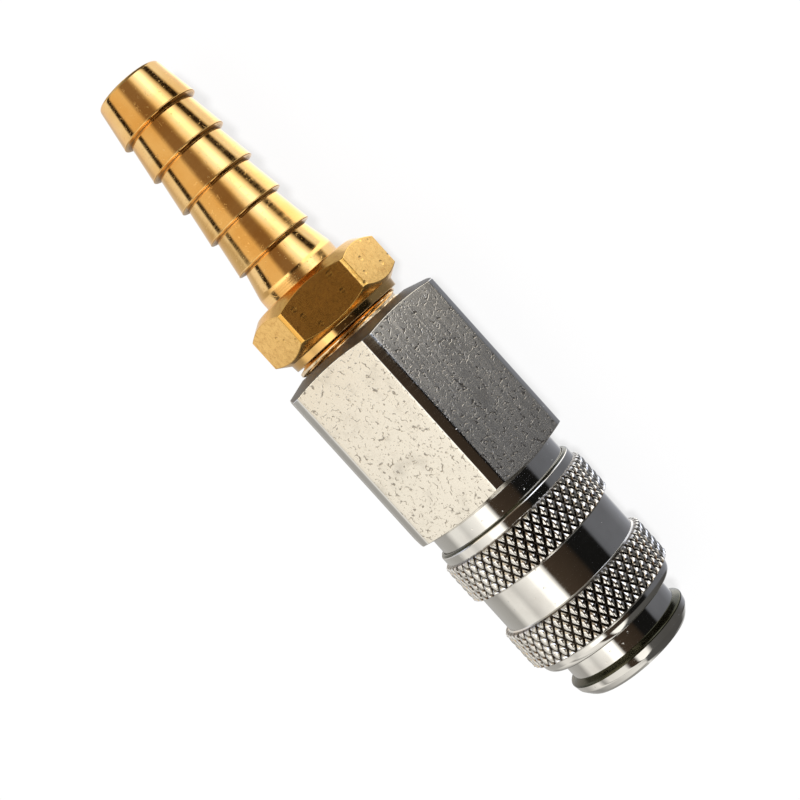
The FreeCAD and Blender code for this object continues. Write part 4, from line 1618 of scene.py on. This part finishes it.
    def build_floor(self) -> bpy.types.Object:
        """A plain pale floor at the height of the flat that the coupling lies on.

        Returns:
            The floor.
        """
        height = node_box("hex_body")[0][2] * MM
        half = self.floor_size / 2
        corners = [(self.object_middle_x + sx * half, sy * half, height)
                   for sx, sy in ((-1, -1), (1, -1), (1, 1), (-1, 1))]
        mesh = bpy.data.meshes.new("floor")
        mesh.from_pydata(corners, [], [(0, 1, 2, 3)])
        floor = bpy.data.objects.new("floor", mesh)
        bpy.context.scene.collection.objects.link(floor)
        mesh.materials.append(self.floor_material())
        floor.visible_glossy = False
        return floor

    def floor_material(self) -> bpy.types.Material:
        """Pale paper that the camera sees as white, with the object's soft shadow on it.

        Returns:
            The material.
        """
        material = bpy.data.materials.new("pale_paper")
        material.use_nodes = True
        nodes = NodeTree(material.node_tree)
        nodes.tree.nodes.clear()
        seen = nodes.node("ShaderNodeLightPath").outputs["Is Camera Ray"]
        paper = nodes.feed(nodes.node("ShaderNodeBsdfDiffuse"), Color=self.paper)
        glow = nodes.feed(nodes.node("ShaderNodeEmission"), Color=PLAIN_WHITE,
                          Strength=nodes.maths("MULTIPLY", seen, self.paper_glow))
        both = nodes.node("ShaderNodeAddShader")
        nodes.put(paper.outputs[0], both.inputs[0])
        nodes.put(glow.outputs[0], both.inputs[1])
        nodes.feed(nodes.node("ShaderNodeOutputMaterial"), Surface=both.outputs[0])
        return material

    def build_sun(self) -> None:
        """A soft lamp a little to the camera's side of upright, which gives the floor its shadow."""
        lamp = bpy.data.lights.new("soft_sun", "SUN")
        lamp.energy = self.sun_energy
        lamp.angle = math.radians(self.sun_angle)
        sun = bpy.data.objects.new("soft_sun", lamp)
        lean = math.radians(self.sun_lean)
        direction = Vector((self.sun_drift, math.sin(lean), math.cos(lean)))
        sun.rotation_euler = direction.to_track_quat("Z", "Y").to_euler()
        sun.visible_glossy = False
        bpy.context.scene.collection.objects.link(sun)

    def build(self) -> None:
        """Make the floor and the light."""
        self.build_world()
        self.build_sun()
        self.build_floor()


def main() -> None:
    """Build the coupling piece by piece, then the studio and the camera."""
    logging.basicConfig(level=logging.INFO, format="%(name)s: %(message)s")
    finishes = Finishes()
    HoseTail().build(finishes)
    HexBody().build(finishes)
    SocketTube().build(finishes)
    KnurledSleeve().build(finishes)
    CoilSpring("sleeve_coil", "sleeve_spring", Body.SPRING, "sleeve_slide",
               wire=0.65, mean_radius=6.675, turns=4.0, keep=0.66, fixed_at_rear=False).build(finishes)
    CoilSpring("valve_coil", "valve_spring", Body.COUPLER, "valve_slide",
               wire=0.6, mean_radius=3.0, turns=6.0, keep=0.68, fixed_at_rear=True).build(finishes)
    InnerPieces(finishes).build()
    basis = ViewBasis()
    Studio(basis).build()
    PhotoCamera().build(basis)
    bpy.context.scene.view_settings.view_transform = "Standard"


if __name__ == "__main__":
    main()
